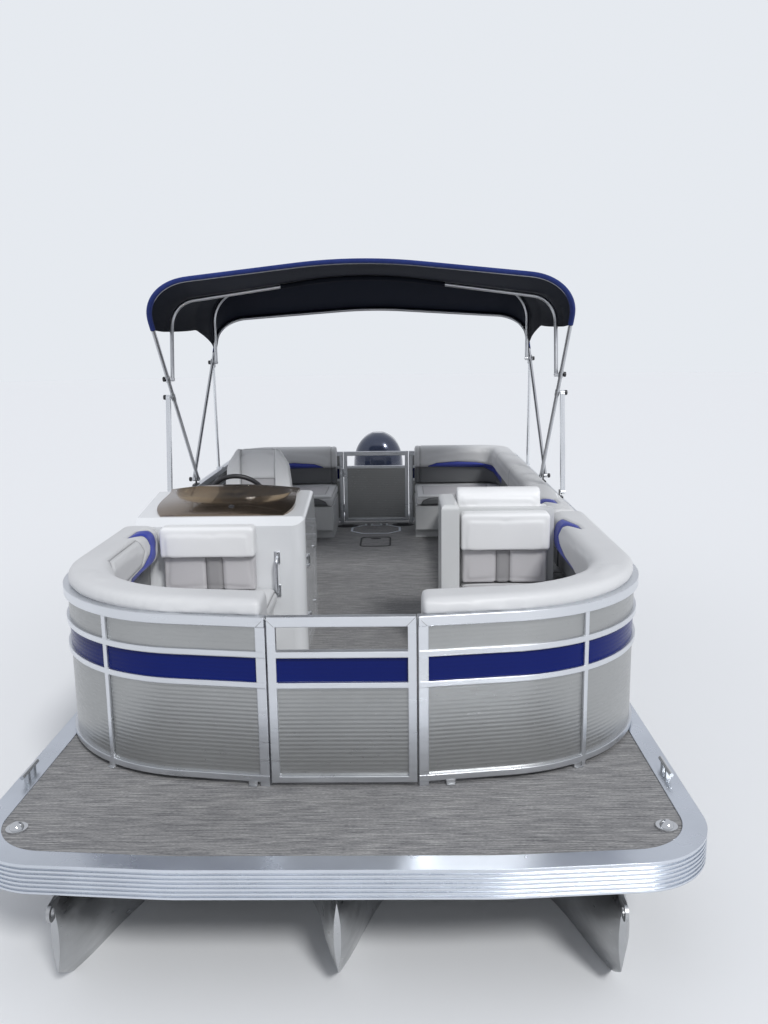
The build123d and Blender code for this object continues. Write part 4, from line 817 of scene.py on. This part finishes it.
def bow_seats():
    """Bow seats: a long cushion each side with a grey insert on its top and a seam round its boxing."""
    inner = 0.44
    for source in ("port_bow_seat", "starboard_bow_seat"):
        cover = stuffed(source, 0.019)
        low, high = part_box(source)

        def insert(x, y, z):
            across = min(abs(x) - inner - 0.075, 1.02 - abs(x))
            return min(across, y + 2.30, high.y - 0.09 - y, (z - high.z + 0.03) * 3)

        rules = {
            "panel": insert,
            "seam_one": lambda x, y, z: z - (high.z - 0.02),
            "seam_two": lambda x, y, z: zigzag(y - 0.1, 0.36) if insert(x, y, z) > 0 else 1.0,
        }
        upholster(cover, source, rules, 0.005)


bow_seats()


def bow_backrests():
    """Bow backrests: a light pillow over a grey lower panel, with a darker stripe sewn up its middle."""
    split = 1.072
    stripes = (("port_bow_backrest", 0.775, 0.036), ("starboard_bow_backrest", -0.765, 0.044))
    for source, middle, half in stripes:
        cover = stuffed(source, 0.011, draw_in=0.011, proud=0.009)
        rules = {
            "panel": lambda x, y, z: split - z,
            "stripe": lambda x, y, z: min(half - abs(x - middle), split - z),
        }
        # The pillow's light vinyl is brightened: painted sunlight.
        upholster(cover, source, rules, 0.007, vinyl=painted_sunlit_vinyl)


bow_backrests()


def lounge_headrest():
    """Headrest: a thick roll on the shell's top, sewn to a flat back cushion under it."""
    cover = stuffed("port_headrest", 0.011, draw_in=0.009)
    low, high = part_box("port_headrest")
    rules = {
        "seam_one": lambda x, y, z: z - 1.256,
        "seam_two": lambda x, y, z: zigzag(x - low.x, 0.24) if z < 1.24 and y > low.y + 0.11 else 1.0,
    }
    # The headrest's light vinyl is brightened: painted sunlight.
    upholster(cover, "port_headrest", rules, vinyl=painted_sunlit_vinyl)


lounge_headrest()


def stern_lounges():
    """Stern lounges: an L to port and a bench to starboard, with grey inserts and dark front patches."""
    patch = inside_of([(0.40, 0.79), (0.42, 0.835), (0.48, 0.862), (0.60, 0.872), (0.72, 0.862),
                       (0.78, 0.835), (0.80, 0.79)])
    for source, sign in (("port_stern_seat", 1), ("starboard_stern_seat", -1)):
        cover = stuffed(source, 0.019)
        low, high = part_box(source)

        def insert(x, y, z):
            bench = min(abs(x) - 0.43, 1.02 - abs(x), y - 1.84, 2.30 - y)
            if sign > 0:
                bench = max(bench, min(x - 0.70, 1.02 - x, y - low.y - 0.09, 2.30 - y))
            return min(bench, (z - high.z + 0.03) * 3)

        def front(x, y, z):
            if y < 1.80 and (sign < 0 or x < 0.62):
                return patch(abs(x), z)
            return -1.0

        rules = {
            "panel": insert,
            "dark": front,
            "seam_one": lambda x, y, z: z - (high.z - 0.02),
            "seam_two": lambda x, y, z: zigzag(y - 0.42, 0.66) if insert(x, y, z) > 0 and y < 1.7 else 1.0,
        }
        upholster(cover, source, rules, 0.005)


stern_lounges()


def stern_bolsters():
    """Stern bolsters: the same roll inside the rail, with a blue wedge under it and a dark pad below."""
    wedge = inside_of(
        [(0.487, 0.556), (0.56, 0.588), (0.75, 0.602), (0.93, 0.592), (1.06, 0.565), (1.16, 0.50),
         (1.20, 0.44), (1.12, 0.44), (1.08, 0.50), (1.00, 0.538), (0.487, 0.545)])
    sweep = inside_of(
        [(-0.66, 0.80), (-0.52, 0.80), (-0.42, 0.72), (-0.39, 0.65), (-0.42, 0.59), (-0.50, 0.56),
         (-0.60, 0.575), (-0.50, 0.60), (-0.47, 0.65), (-0.51, 0.71)])
    for source, sign in (("port_stern_bolster", 1), ("starboard_stern_bolster", -1)):
        cover = stuffed(source, 0.016)

        def accent(x, y, z):
            if y > 1.95:
                return wedge(abs(x), z - 0.5)
            if sign > 0 and y < 0:
                return sweep(y, z - 0.5 + max(0.0, x - roll_ridge))
            return -1.0

        rules = {
            "dark": lambda x, y, z: roll_low - 0.004 - z,
            "accent": accent,
            "seam_one": lambda x, y, z: abs(x) - 0.41 if y > 2.1 else 1.0,
            "seam_two": lambda x, y, z: zigzag(y - 0.55, 0.9) if y < 1.9 else 1.0,
        }
        upholster(cover, source, rules)


stern_bolsters()

# Helm chair: a moulded bucket padded with foam and covered in vinyl, with two armrests, on a turning plate.
# Seams run up both sides of the centre panel, with painted shade in their grooves, and its lower half is sewn
# from grey vinyl.


def helm_chair():
    """Makes the padded chair, and the plate it turns on."""
    plate_top = 0.884
    chair_x, chair_y = -0.815, 0.430
    panel_half = 0.118
    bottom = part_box("helm_chair")[0].z
    cover = stuffed("helm_chair", 0.010, draw_in=0.008, cut=(0, 0, plate_top))
    rules = {
        "panel": lambda x, y, z: min(panel_half - abs(x - chair_x), 1.215 - z, z - 1.03) if y > 0.5 else -1.0,
        "seam_one": lambda x, y, z: panel_half - abs(x - chair_x) if z > 1.03 or y < 0.6 else -1.0,
        "seam_two": lambda x, y, z: z - 0.975 if y < 0.56 else 1.0,
    }
    # The chair's light vinyl is brightened: painted sunlight.
    upholster(cover, "helm_chair", rules, body="helm_chair", vinyl=painted_sunlit_vinyl)
    plate = begin("chair_plate", "cylinder", vertices=48, radius=0.09, depth=plate_top - bottom,
                  location=(chair_x, chair_y, (plate_top + bottom) / 2))
    pick(plate, "FACE", lambda c, n: abs(n.z) < 0.1 and c.z < plate_top)
    bpy.ops.mesh.inset(thickness=0.012, depth=-0.004)
    rounded(plate, 0.002)
    close(plate, rubber, "helm_chair")


helm_chair()

# Helm console: gel-coated fibreglass, gloss white, with a rounded nose, a side door and a sloping dash.
# The dash holds three gauges behind glass and the throttle; two chrome latches close the door.

gel_coat = moulded("gel_coat", (0.76, 0.775, 0.79), 0.16, peel=0.00012, coat=0.8)
black_plastic = moulded("black_plastic", (0.025, 0.025, 0.028), 0.42, peel=0.0005, coat=0.0)
dress(gel_coat, "console", "console_door")
console_inner = -0.290
dash_start, dash_end = Vector((0, -0.650, 1.330)), Vector((0, -0.500, 1.062))
dash_run = (dash_end - dash_start).normalized()
dash_out = Vector((0, -dash_run.z, dash_run.y))


def off_dash(point):
    """Gives how far a point stands off the dash's face."""
    return (point - Vector((point.x, 0, 0)) - dash_start).dot(dash_out)


paint("console", stainless,
      lambda c, n: 0.0005 < off_dash(c) < 0.03 and c.x < console_inner - 0.14 and c.z > 1.2)
paint("console", black_plastic,
      lambda c, n: off_dash(c) > 0.0005 and c.x > console_inner - 0.13 and c.z > 1.05)
paint("console_door", stainless, lambda c, n: c.x > console_inner + 0.0005)
gauge_glass, tree, shader = new_material("gauge_face", (0.01, 0.01, 0.012), 0.06, 0, {"Coat Weight": 1.0})
haze = pattern(tree, "Noise", {"Scale": 45, "Detail": 3})
wire(tree, (ramp(tree, haze.outputs["Fac"], [(0.3, 0.05), (0.7, 0.12)]), shader, "Roughness"))
tick_colour = (0.75, 0.75, 0.72)
tick_white, tree, shader = new_material("tick_paint", tick_colour, 0.5)
wire(tree, (patched(tree, tick_colour, 0.1, 30), shader, "Base Color"))

tilt = dash_out.to_track_quat("Z", "Y").to_euler()
tilt_axes = [list(row) for row in tilt.to_matrix().transposed()]
for number in (1, 2, 3):
    middle = Vector((-0.760 + (number - 2) * 0.105, 0, 0)) + dash_start
    middle += dash_run * (0.16 * (dash_end - dash_start).length) + dash_out * 0.0072
    face = begin(f"gauge_face_{number}", "circle", vertices=48, radius=0.036, fill_type="NGON",
                 location=middle, rotation=tilt)
    whole()
    bpy.ops.mesh.inset(thickness=0.004)
    bpy.ops.transform.translate(value=dash_out * -0.002)
    whole()
    extrude(dash_out * 0.0025)
    face_out()
    close(face, gauge_glass, "root")
    for turn in range(9):
        angle = math.radians(-120 + turn * 30)
        side = Vector((1, 0, 0)) * math.sin(angle) - dash_run * math.cos(angle)
        spot = middle + side * 0.026 + dash_out * 0.0012
        tick = begin(f"gauge_tick_{number}_{turn + 1}", "cube", size=1, location=spot, rotation=tilt,
                     scale=(0.0014, 0.006, 0.0008))
        bpy.ops.transform.rotate(value=angle, orient_axis="Z", orient_matrix=tilt_axes, orient_type="GLOBAL",
                                 center_override=spot)
        modified(tick, "BEVEL", width=0.0002, segments=1)
        close(tick, tick_white, "root")

# Cowl: a domed cover over the console's nose, sprayed in bronze metallic under a clear coat.


def flake_paint(name, colour, roughness, metallic=0.75):
    """Metallic paint: fine bright flakes in a darker base, under a glossy clear coat."""
    finish = {"Coat Weight": 0.9, "Coat Roughness": 0.05}
    made, tree, shader = new_material(name, colour, roughness, metallic, finish)
    flakes = pattern(tree, "Voronoi", {"Scale": 900})
    dark, bright = tuple(c * 0.75 for c in colour), tuple(min(1, c * 1.35) for c in colour)
    shade = ramp(tree, flakes.outputs["Color"], [(0.2, dark), (0.8, bright)])
    patch = node(tree, "Group", {"Scale": 2.0}, node_tree=cloudy_patches)
    soft = ramp(tree, patch.outputs["Mask"], [(0.0, 0.9), (1.0, 1.0)])
    wire(tree, (product(tree, shade, soft), shader, "Base Color"))
    embossed(tree, shader, 0.0001, flakes, "Distance")
    return made


bronze = flake_paint("bronze_paint", (0.24, 0.185, 0.135), 0.2, 0.9)
dress(bronze, "console_cowl")
cowl_skin = BVHTree.FromObject(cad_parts["console_cowl"], bpy.context.evaluated_depsgraph_get())
spot, normal, _, _ = cowl_skin.ray_cast(Vector((-0.70, -1.06, 2)), Vector((0, 0, -1)))
plug_steps = ((0.004, 0.002), (0.003, -0.003))
plug = stud("cowl_plug", spot + normal * 0.002, normal, 32, 0.016, 0.006, plug_steps, 0.0008)
close(plug, black_plastic, "root")

# Windscreen: a wrap-round sheet of brown tinted acrylic, heat bent and screwed along the cowl.

tint_colour = (0.62, 0.50, 0.35)
clear = {"Transmission Weight": 1.0, "IOR": 1.49}
tint, tree, shader = new_material("brown_acrylic", tint_colour, 0.02, 0, clear)
dust = pattern(tree, "Noise", {"Scale": 14, "Detail": 5})
wire(tree, (ramp(tree, dust.outputs["Fac"], [(0.45, 0.0), (0.75, 0.03)]), shader, "Roughness"),
     (patched(tree, tint_colour, 0.1, 4), shader, "Base Color"))
screen_middle = Vector((-0.745, -0.705, 1.335))
screen_top = Vector((0, -0.915, 1.403))
screen = begin("windscreen_sheet", "cylinder", vertices=96, radius=1, depth=0.136, end_fill_type="NOTHING",
               location=screen_middle, scale=(0.350, 0.248, 1))
pick(screen, "VERT", lambda c: c.z > screen_middle.z)
bpy.ops.transform.resize(value=(0.94, 0.94, 1), center_override=screen_middle)
for spot, slope in ((screen_middle, (0, 1, 0)), (screen_top, (0, 0.30, 1))):
    whole()
    bpy.ops.mesh.bisect(plane_co=spot, plane_no=slope, clear_outer=True)
modified(screen, "SOLIDIFY", thickness=0.004, offset=0)
rounded(screen, 0.0008)
close(screen, tint, "root")
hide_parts("windscreen")

# Grab rail: a polished stainless bar bent to a handle, welded to two bevelled plates.
# Each plate is held to the console's front by two screws.

rail_x = -0.440
rail_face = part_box("console")[0].y
rail_levels = {"lower": 0.868, "upper": 1.052}
rail_depth = 0.044
bar_radius = 0.0085
turn_radius = 0.026
rail_bar = begin("grab_rail_bar", "circle", vertices=20, radius=bar_radius, fill_type="NGON",
                 location=(rail_x, rail_face, rail_levels["lower"]), rotation=(math.radians(90), 0, 0))
whole()
extrude((0, turn_radius - rail_depth, 0))
for start, run in (("lower", rail_levels["upper"] - rail_levels["lower"] - 2 * turn_radius), ("upper", None)):
    sign = 1 if start == "lower" else -1
    centre = (rail_x, rail_face - rail_depth + turn_radius, rail_levels[start] + sign * turn_radius)
    bpy.ops.mesh.spin(steps=8, angle=math.radians(90), center=centre, axis=(1, 0, 0))
    if run:
        extrude((0, 0, run))
extrude((0, rail_depth - turn_radius, 0))
whole()
bpy.ops.mesh.remove_doubles(threshold=0.00005)
bpy.ops.mesh.normals_make_consistent(inside=False)
close(rail_bar, rail_metal, "root")
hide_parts("grab_rail")
forward = Vector((0, -1, 0))
screw_steps = ((0.002, 0.001),)
for name, level in rail_levels.items():
    middle = Vector((rail_x, rail_face - 0.002, level))
    plate = begin(f"grab_plate_{name}", "cube", size=1, location=middle, scale=(0.032, 0.004, 0.070))
    pick(plate, "FACE", lambda c, n: n.y < -0.9)
    bpy.ops.mesh.inset(thickness=0.003)
    bpy.ops.transform.translate(value=(0, -0.0015, 0))
    rounded(plate, 0.0008)
    close(plate, rail_metal, "root")
    for number, lift in enumerate((-0.026, 0.026), 1):
        spot = middle + Vector((0, -0.0045, lift))
        head = stud(f"grab_screw_{name}_{number}", spot, forward, 24, 0.0055, 0.003, screw_steps)
        close(head, stainless, "root")

# Steering wheel: a soft black rim on three spokes, moulded over steel, with a smooth cap on its hub.

dress(black_plastic, "steering_wheel")
wheel_middle = Vector((-0.760, -0.505, 1.262))
cap_middle = wheel_middle - dash_out * 0.002
cap_steps = ((0.010, 0.005), (0.014, 0.003))
cap = stud("wheel_cap", cap_middle, dash_out, 40, 0.044, 0.008, cap_steps, 0.0012)
close(cap, rail_metal, "steering_wheel")

# Outboard motor: cast aluminium leg and brackets painted dark grey, under a painted plastic cowl.
# The cowl sits on a rubber seal; a recessed grip is moulded in its back.

engine_paint = flake_paint("engine_paint", (0.030, 0.040, 0.075), 0.22, 0.35)
engine_grey = moulded("engine_grey", (0.050, 0.054, 0.062), 0.36, peel=0.0006, coat=0.25)
dress(engine_paint, "engine_cowl")
dress(engine_grey, "engine_leg", "clamp_bracket", "swivel_bracket")
blade_paint = moulded("blade_paint", (0.028, 0.029, 0.031), 0.3, peel=0.0003, coat=0.4)
dress(blade_paint, "propeller")
cowl_low, cowl_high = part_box("engine_cowl")
cowl_middle = (cowl_low + cowl_high) / 2
seal = soft_copy("cowl_seal", "engine_cowl")
opened(seal)
for level, keep_above in ((cowl_low.z + 0.055, True), (cowl_low.z + 0.075, False)):
    whole()
    bpy.ops.mesh.bisect(plane_co=(0, cowl_middle.y, level), plane_no=(0, 0, 1), clear_inner=keep_above,
                        clear_outer=not keep_above)
modified(seal, "SOLIDIFY", thickness=0.005, offset=0.2)
close(seal, rubber, "engine", angle=50)

# Sunshade bows: bent aluminium tube, anodised grey, pinned at the foot and at each joint with black knobs.

bow_tube = metal("bow_tube", (0.60, 0.61, 0.63), (0.08, 0.08, 0.08), 60, 0.30, 0.46, stain=0.08)
dress(bow_tube, "aft_main_bow", "front_main_bow", "front_second_bow", "aft_second_bow")
strut_tube = metal("strut_tube", (0.84, 0.86, 0.88), (1, 0.08, 0.08), 70, 0.22, 0.34, stain=0.04)
dress(strut_tube, "front_struts", "rear_struts")
dress(black_plastic, "sunshade_feet")
foot = Vector((0, 0.580, 1.222))
front_angle, aft_angle = 133.4, 43.75
front_length, aft_length = 1.933, 1.786
outer_reach, inner_reach = 1.302, 1.270


def toward(angle):
    """Gives the direction at this angle over the stern, in a side view."""
    return Vector((0, math.cos(math.radians(angle)), math.sin(math.radians(angle))))


aft_joint = foot + toward(aft_angle) * 1.190
second_joint = foot + toward(front_angle) * 1.030
knuckle = foot + toward(front_angle) * 0.864
knob_steps = ((0.004, 0.003), (0.004, -0.002))
knob = stud("knob", Vector(), Vector((1, 0, 0)), 24, 0.016, 0.014, knob_steps, 0.0012)
knob_mesh = kept_shape(knob)
knob_places = (
    ("foot", foot, outer_reach, "root"),
    ("aft_joint", aft_joint, outer_reach, "root"),
    ("knuckle", knuckle, outer_reach, "front_main_bow"),
    ("second_joint", second_joint, inner_reach, "front_main_bow"),
)
for name, place, reach, body in knob_places:
    for side, sign, turn in (("port", 1, 0), ("starboard", -1, math.pi)):
        move = Matrix.Translation((sign * reach, place.y, place.z)) @ Matrix.Rotation(turn, 4, "Z")
        close(copied(knob_mesh, f"{name}_knob_{side}", move), black_plastic, body)

# Canopy: navy acrylic canvas, cut as one sheet, stretched over the bows and seamed at each of them.
# Its edges are folded into a stitched hem; the underside gets a near-black copy of the canvas: painted shade
# under the canopy.


def canvas(name, colour, sheen):
    """Woven acrylic canvas: crossed yarns, faded patches, stitched seams over the bows and a doubled hem."""
    finish = {"Sheen Weight": sheen, "Specular IOR Level": 0.2, "Sheen Roughness": 0.5}
    made, tree, shader = new_material(name, colour, 0.85, 0, finish)
    place = node(tree, "UVMap", uv_map="cloth")
    warp = node(tree, "TexWave", {"Scale": 262}, bands_direction="X")
    weft = node(tree, "TexWave", {"Scale": 262}, bands_direction="Y")
    cross = node(tree, "Math", operation="MAXIMUM")
    slub = node(tree, "TexNoise", {"Scale": 35, "Detail": 4})
    least = node(tree, "Math", operation="MINIMUM")
    share = node(tree, "Math", {1: 0.04}, operation="DIVIDE")
    height = node(tree, "Math", {1: 0.04}, operation="MULTIPLY_ADD")
    for number, label in enumerate(("bow_seam", "hem")):
        size = node(tree, "Math", operation="ABSOLUTE")
        wire(tree, (node(tree, "Attribute", attribute_name=label), "Fac", size, 0), (size, 0, least, number))
    wire(
        tree,
        *((place, 0, weave, "Vector") for weave in (warp, weft, slub)),
        (warp, "Fac", cross, 0), (weft, "Fac", cross, 1), (least, 0, share, 0), (cross, 0, height, 0),
    )
    heights = [(0.0, 0.6), (0.03, 0.2), (0.08, 0.75), (0.5, 0.8), (0.55, 0.3), (0.6, 0.5), (1.0, 0.5)]
    shades = [(0.0, 0.6), (0.04, 0.72), (0.08, 1.0), (0.5, 1.0), (0.54, 0.8), (0.6, 1.0)]
    slubs = ramp(tree, slub.outputs["Fac"], [(0.35, 0.82), (0.65, 1.0)])
    tone = product(tree, patched(tree, colour, 0.16, 1.1), slubs, ramp(tree, share.outputs[0], shades))
    wire(tree, (ramp(tree, share.outputs[0], heights), height, 2), (tone, shader, "Base Color"))
    embossed(tree, shader, 0.004, height, 0)
    return made


navy_canvas = canvas("navy_canvas", (0.022, 0.040, 0.185), 0.06)
# A near-black copy of the navy canvas, painted shade, for the canopy's underside and the bow pockets.
painted_shade_canvas = canvas("painted_shade_canvas", (0.006, 0.009, 0.020), 0.0)


def bent(points, radii, counts):
    """Gives evenly spread points along a line of straight runs whose corners are rounded."""
    arcs = []
    for before, corner, after, radius in zip(points, points[1:], points[2:], radii):
        back, ahead = (before - corner).normalized(), (after - corner).normalized()
        half = math.acos(max(-1, min(1, back.dot(ahead)))) / 2
        centre = corner + (back + ahead).normalized() * (radius / math.sin(half))
        reach = radius / math.tan(half)
        arcs.append((corner + back * reach, centre, corner + ahead * reach))
    line = [points[0]]
    for (start, centre, end), (run, turn) in zip(arcs, counts):
        line += [line[-1].lerp(start, step / run) for step in range(1, run + 1)]
        opening = (start - centre).angle_signed(end - centre)
        line += [centre + Matrix.Rotation(-opening * step / turn, 2) @ (start - centre)
                 for step in range(1, turn + 1)]
    run = counts[-1][0]
    line += [line[-1].lerp(points[-1], step / run) for step in range(1, run + 1)]
    return line


# Each station: a bow's pivot, its angle and half breadth, (length, corner radius, rise), where the cloth's
# side ends along it, and how much longer than the bow the cloth is.
lift = 0.017
canopy_stations = (
    (foot, front_angle, 1.247, (front_length, 0.320, 0.150), 1.450, 1.6 * lift),
    (second_joint, 81, 1.247, (0.629, 0.165, 0.150), 0.300, lift),
    (Vector((0, 0.850, 1.942)), 90, 1.252, (0.690, 0.175, 0.110), 0.350, lift),
    (aft_joint, 91.8, 1.262, (0.637, 0.250, 0.100), 0.150, lift),
    (foot, aft_angle, 1.276, (aft_length, 0.250, 0.110), 1.300, 1.6 * lift),
)


def station_line(station, around=0.0, side=1):
    """Gives the cloth's line over a bow, turned round its tube by this angle towards one side of it."""
    origin, angle, half, (length, corner, rise), edge, longer = station
    over, off = math.cos(around), math.sin(around)
    wide = half + lift * over
    crown = length + longer - lift * (1 - over)
    flat = [Vector((-wide, edge)), Vector((-wide, crown - rise)), Vector((0, crown + 0.020)),
            Vector((wide, crown - rise)), Vector((wide, edge))]
    radii = (corner + lift * over, 2.600, corner + lift * over)
    line = bent(flat, radii, ((6, 14), (10, 12), (10, 14), (6, 0)))
    along, across = toward(angle), toward(angle + 90 * side)
    return [origin + Vector((x, 0, 0)) + along * u + across * (lift * off) for x, u in line]


station_lines = [station_line(station) for station in canopy_stations]
span_rows = 10
hollow = 0.014
rows = []
for near, far in zip(station_lines, station_lines[1:]):
    for step in range(span_rows + (far is station_lines[-1])):
        share = step / span_rows
        dip = hollow * 4 * share * (1 - share)
        row = []
        for a, b in zip(near, far):
            point = a.lerp(b, share)
            inward = Vector((0, foot.y + 0.3, 1.9)) - point
            inward.y = 0
            row.append(point + inward.normalized() * dip)
        rows.append(row)
turns = [math.radians(step * 30) for step in range(1, 7)]
ahead = [station_line(canopy_stations[0], around, 1) for around in turns]
behind = [station_line(canopy_stations[-1], around, -1) for around in turns]
rows = ahead[::-1] + rows + behind
columns = len(rows[0])
canopy_mesh = bpy.data.meshes.new("canopy_cloth")
canopy_mesh.from_pydata(
    [point for row in rows for point in row], [],
    [(r * columns + c, r * columns + c + 1, (r + 1) * columns + c + 1, (r + 1) * columns + c)
     for r in range(len(rows) - 1) for c in range(columns - 1)],
)
across = [0.0]
for a, b in zip(rows[0], rows[0][1:]):
    across.append(across[-1] + (b - a).length)
down = [0.0]
for a, b in zip(rows, rows[1:]):
    down.append(down[-1] + (b[columns // 2] - a[columns // 2]).length)
seam_rows = [down[len(turns) + number * span_rows] for number in range(len(station_lines))]
cloth_map = canopy_mesh.uv_layers.new(name="cloth")
for loop in canopy_mesh.loops:
    row, column = divmod(loop.vertex_index, columns)
    cloth_map.data[loop.index].uv = (across[column], down[row])
bow_seam = canopy_mesh.attributes.new("bow_seam", "FLOAT", "POINT")
hem = canopy_mesh.attributes.new("hem", "FLOAT", "POINT")
for number in range(len(canopy_mesh.vertices)):
    row, column = divmod(number, columns)
    bow_seam.data[number].value = min((down[row] - s for s in seam_rows[1:-1]), key=abs)
    edge = min(down[row], down[-1] - down[row], across[column], across[-1] - across[column])
    hem.data[number].value = edge - 0.0005
canopy_cloth = bpy.data.objects.new("canopy_cloth", canopy_mesh)
bpy.context.scene.collection.objects.link(canopy_cloth)
opened(canopy_cloth)
face_out()
bpy.ops.object.mode_set(mode="OBJECT")
if canopy_mesh.polygons[len(canopy_mesh.polygons) // 2 + columns // 2].normal.z < 0:
    canopy_mesh.flip_normals()
modified(canopy_cloth, "SUBSURF", levels=1, render_levels=1)
canopy_cloth.data.materials.append(navy_canvas)
canopy_cloth.data.materials.append(painted_shade_canvas)
modified(canopy_cloth, "SOLIDIFY", thickness=0.0018, offset=-1, material_offset=1, material_offset_rim=0)
bpy.ops.object.shade_smooth_by_angle(angle=math.radians(50))
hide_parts("canopy")
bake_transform(canopy_cloth)

# Bow pockets: sleeves of the same canvas sewn round the middle of both inner bows, to hold the canopy.
# Each is a strip of cloth wrapped round its bow.

pocket_reach = 0.52
for bow in ("front_second_bow", "aft_second_bow"):
    pocket = soft_copy(f"{bow}_pocket", bow)
    for sign in (1, -1):
        opened(pocket)
        bpy.ops.mesh.bisect(plane_co=(sign * pocket_reach, 0, 0), plane_no=(sign, 0, 0), clear_outer=True)
        bpy.ops.object.mode_set(mode="OBJECT")
    places, normals = points_of(pocket)
    place_points(pocket, places + normals * 0.0015)
    around = pocket.data.uv_layers.get("cloth") or pocket.data.uv_layers.new(name="cloth")
    for loop in pocket.data.loops:
        spot = pocket.data.vertices[loop.vertex_index].co
        around.data[loop.index].uv = (spot.x, spot.y + spot.z)
    modified(pocket, "SOLIDIFY", thickness=0.0012, offset=1)
    # The pockets take the near-black copy of the canvas: painted shade under the canopy.
    close(pocket, painted_shade_canvas, bow, angle=50)

# Studio: a plain pale floor at the waterline, soft lamps and the camera of the photograph.

bpy.ops.object.select_all(action="DESELECT")
bpy.ops.mesh.primitive_circle_add(vertices=128, radius=60, fill_type="NGON", location=(0, 0, 0))
floor = bpy.context.object
floor.name = "floor"
pale, tree, shader = new_material("pale_floor", (0.80, 0.81, 0.82), 0.6)
floor.data.materials.append(pale)

world = bpy.data.worlds.new("studio")
bpy.context.scene.world = world
world.use_nodes = True
tree = world.node_tree
sky = tree.nodes["Background"]
sky.inputs["Color"].default_value = (0.90, 0.93, 1.0, 1)
sky.inputs["Strength"].default_value = 0.68
seen = node(tree, "Background")
seen.inputs["Color"].default_value = (0.79, 0.822, 0.868, 1)
path = node(tree, "LightPath")
mix = node(tree, "MixShader")
either = node(tree, "Math", operation="MAXIMUM")
wire(tree, (path, "Is Camera Ray", either, 0), (path, "Is Transmission Ray", either, 1))
wire(tree, (either, 0, mix, 0), (sky, 0, mix, 1), (seen, 0, mix, 2), (mix, 0, tree.nodes["World Output"], 0))

sun_data = bpy.data.lights.new("key", "SUN")
sun_data.energy = 1.9
sun_data.angle = math.radians(12)
sun = bpy.data.objects.new("key", sun_data)
bpy.context.scene.collection.objects.link(sun)
sun.rotation_euler = Vector((-0.34, 0.66, -0.70)).to_track_quat("-Z", "Y").to_euler()

photo_focal = 900
camera_data = bpy.data.cameras.new("camera")
camera_data.sensor_width = 36
camera_data.lens = photo_focal * camera_data.sensor_width / 1024
camera = bpy.data.objects.new("camera", camera_data)
bpy.context.scene.collection.objects.link(camera)
camera.matrix_world = (
    Matrix.Translation((0.224, -5.895, 2.175))
    @ Matrix.Rotation(math.radians(1.05), 4, "Z")
    @ Matrix.Rotation(math.radians(90 - 10.59), 4, "X")
    @ Matrix.Rotation(math.radians(-0.75), 4, "Z")
)
bpy.context.scene.camera = camera
bpy.context.scene.view_settings.view_transform = "Standard"
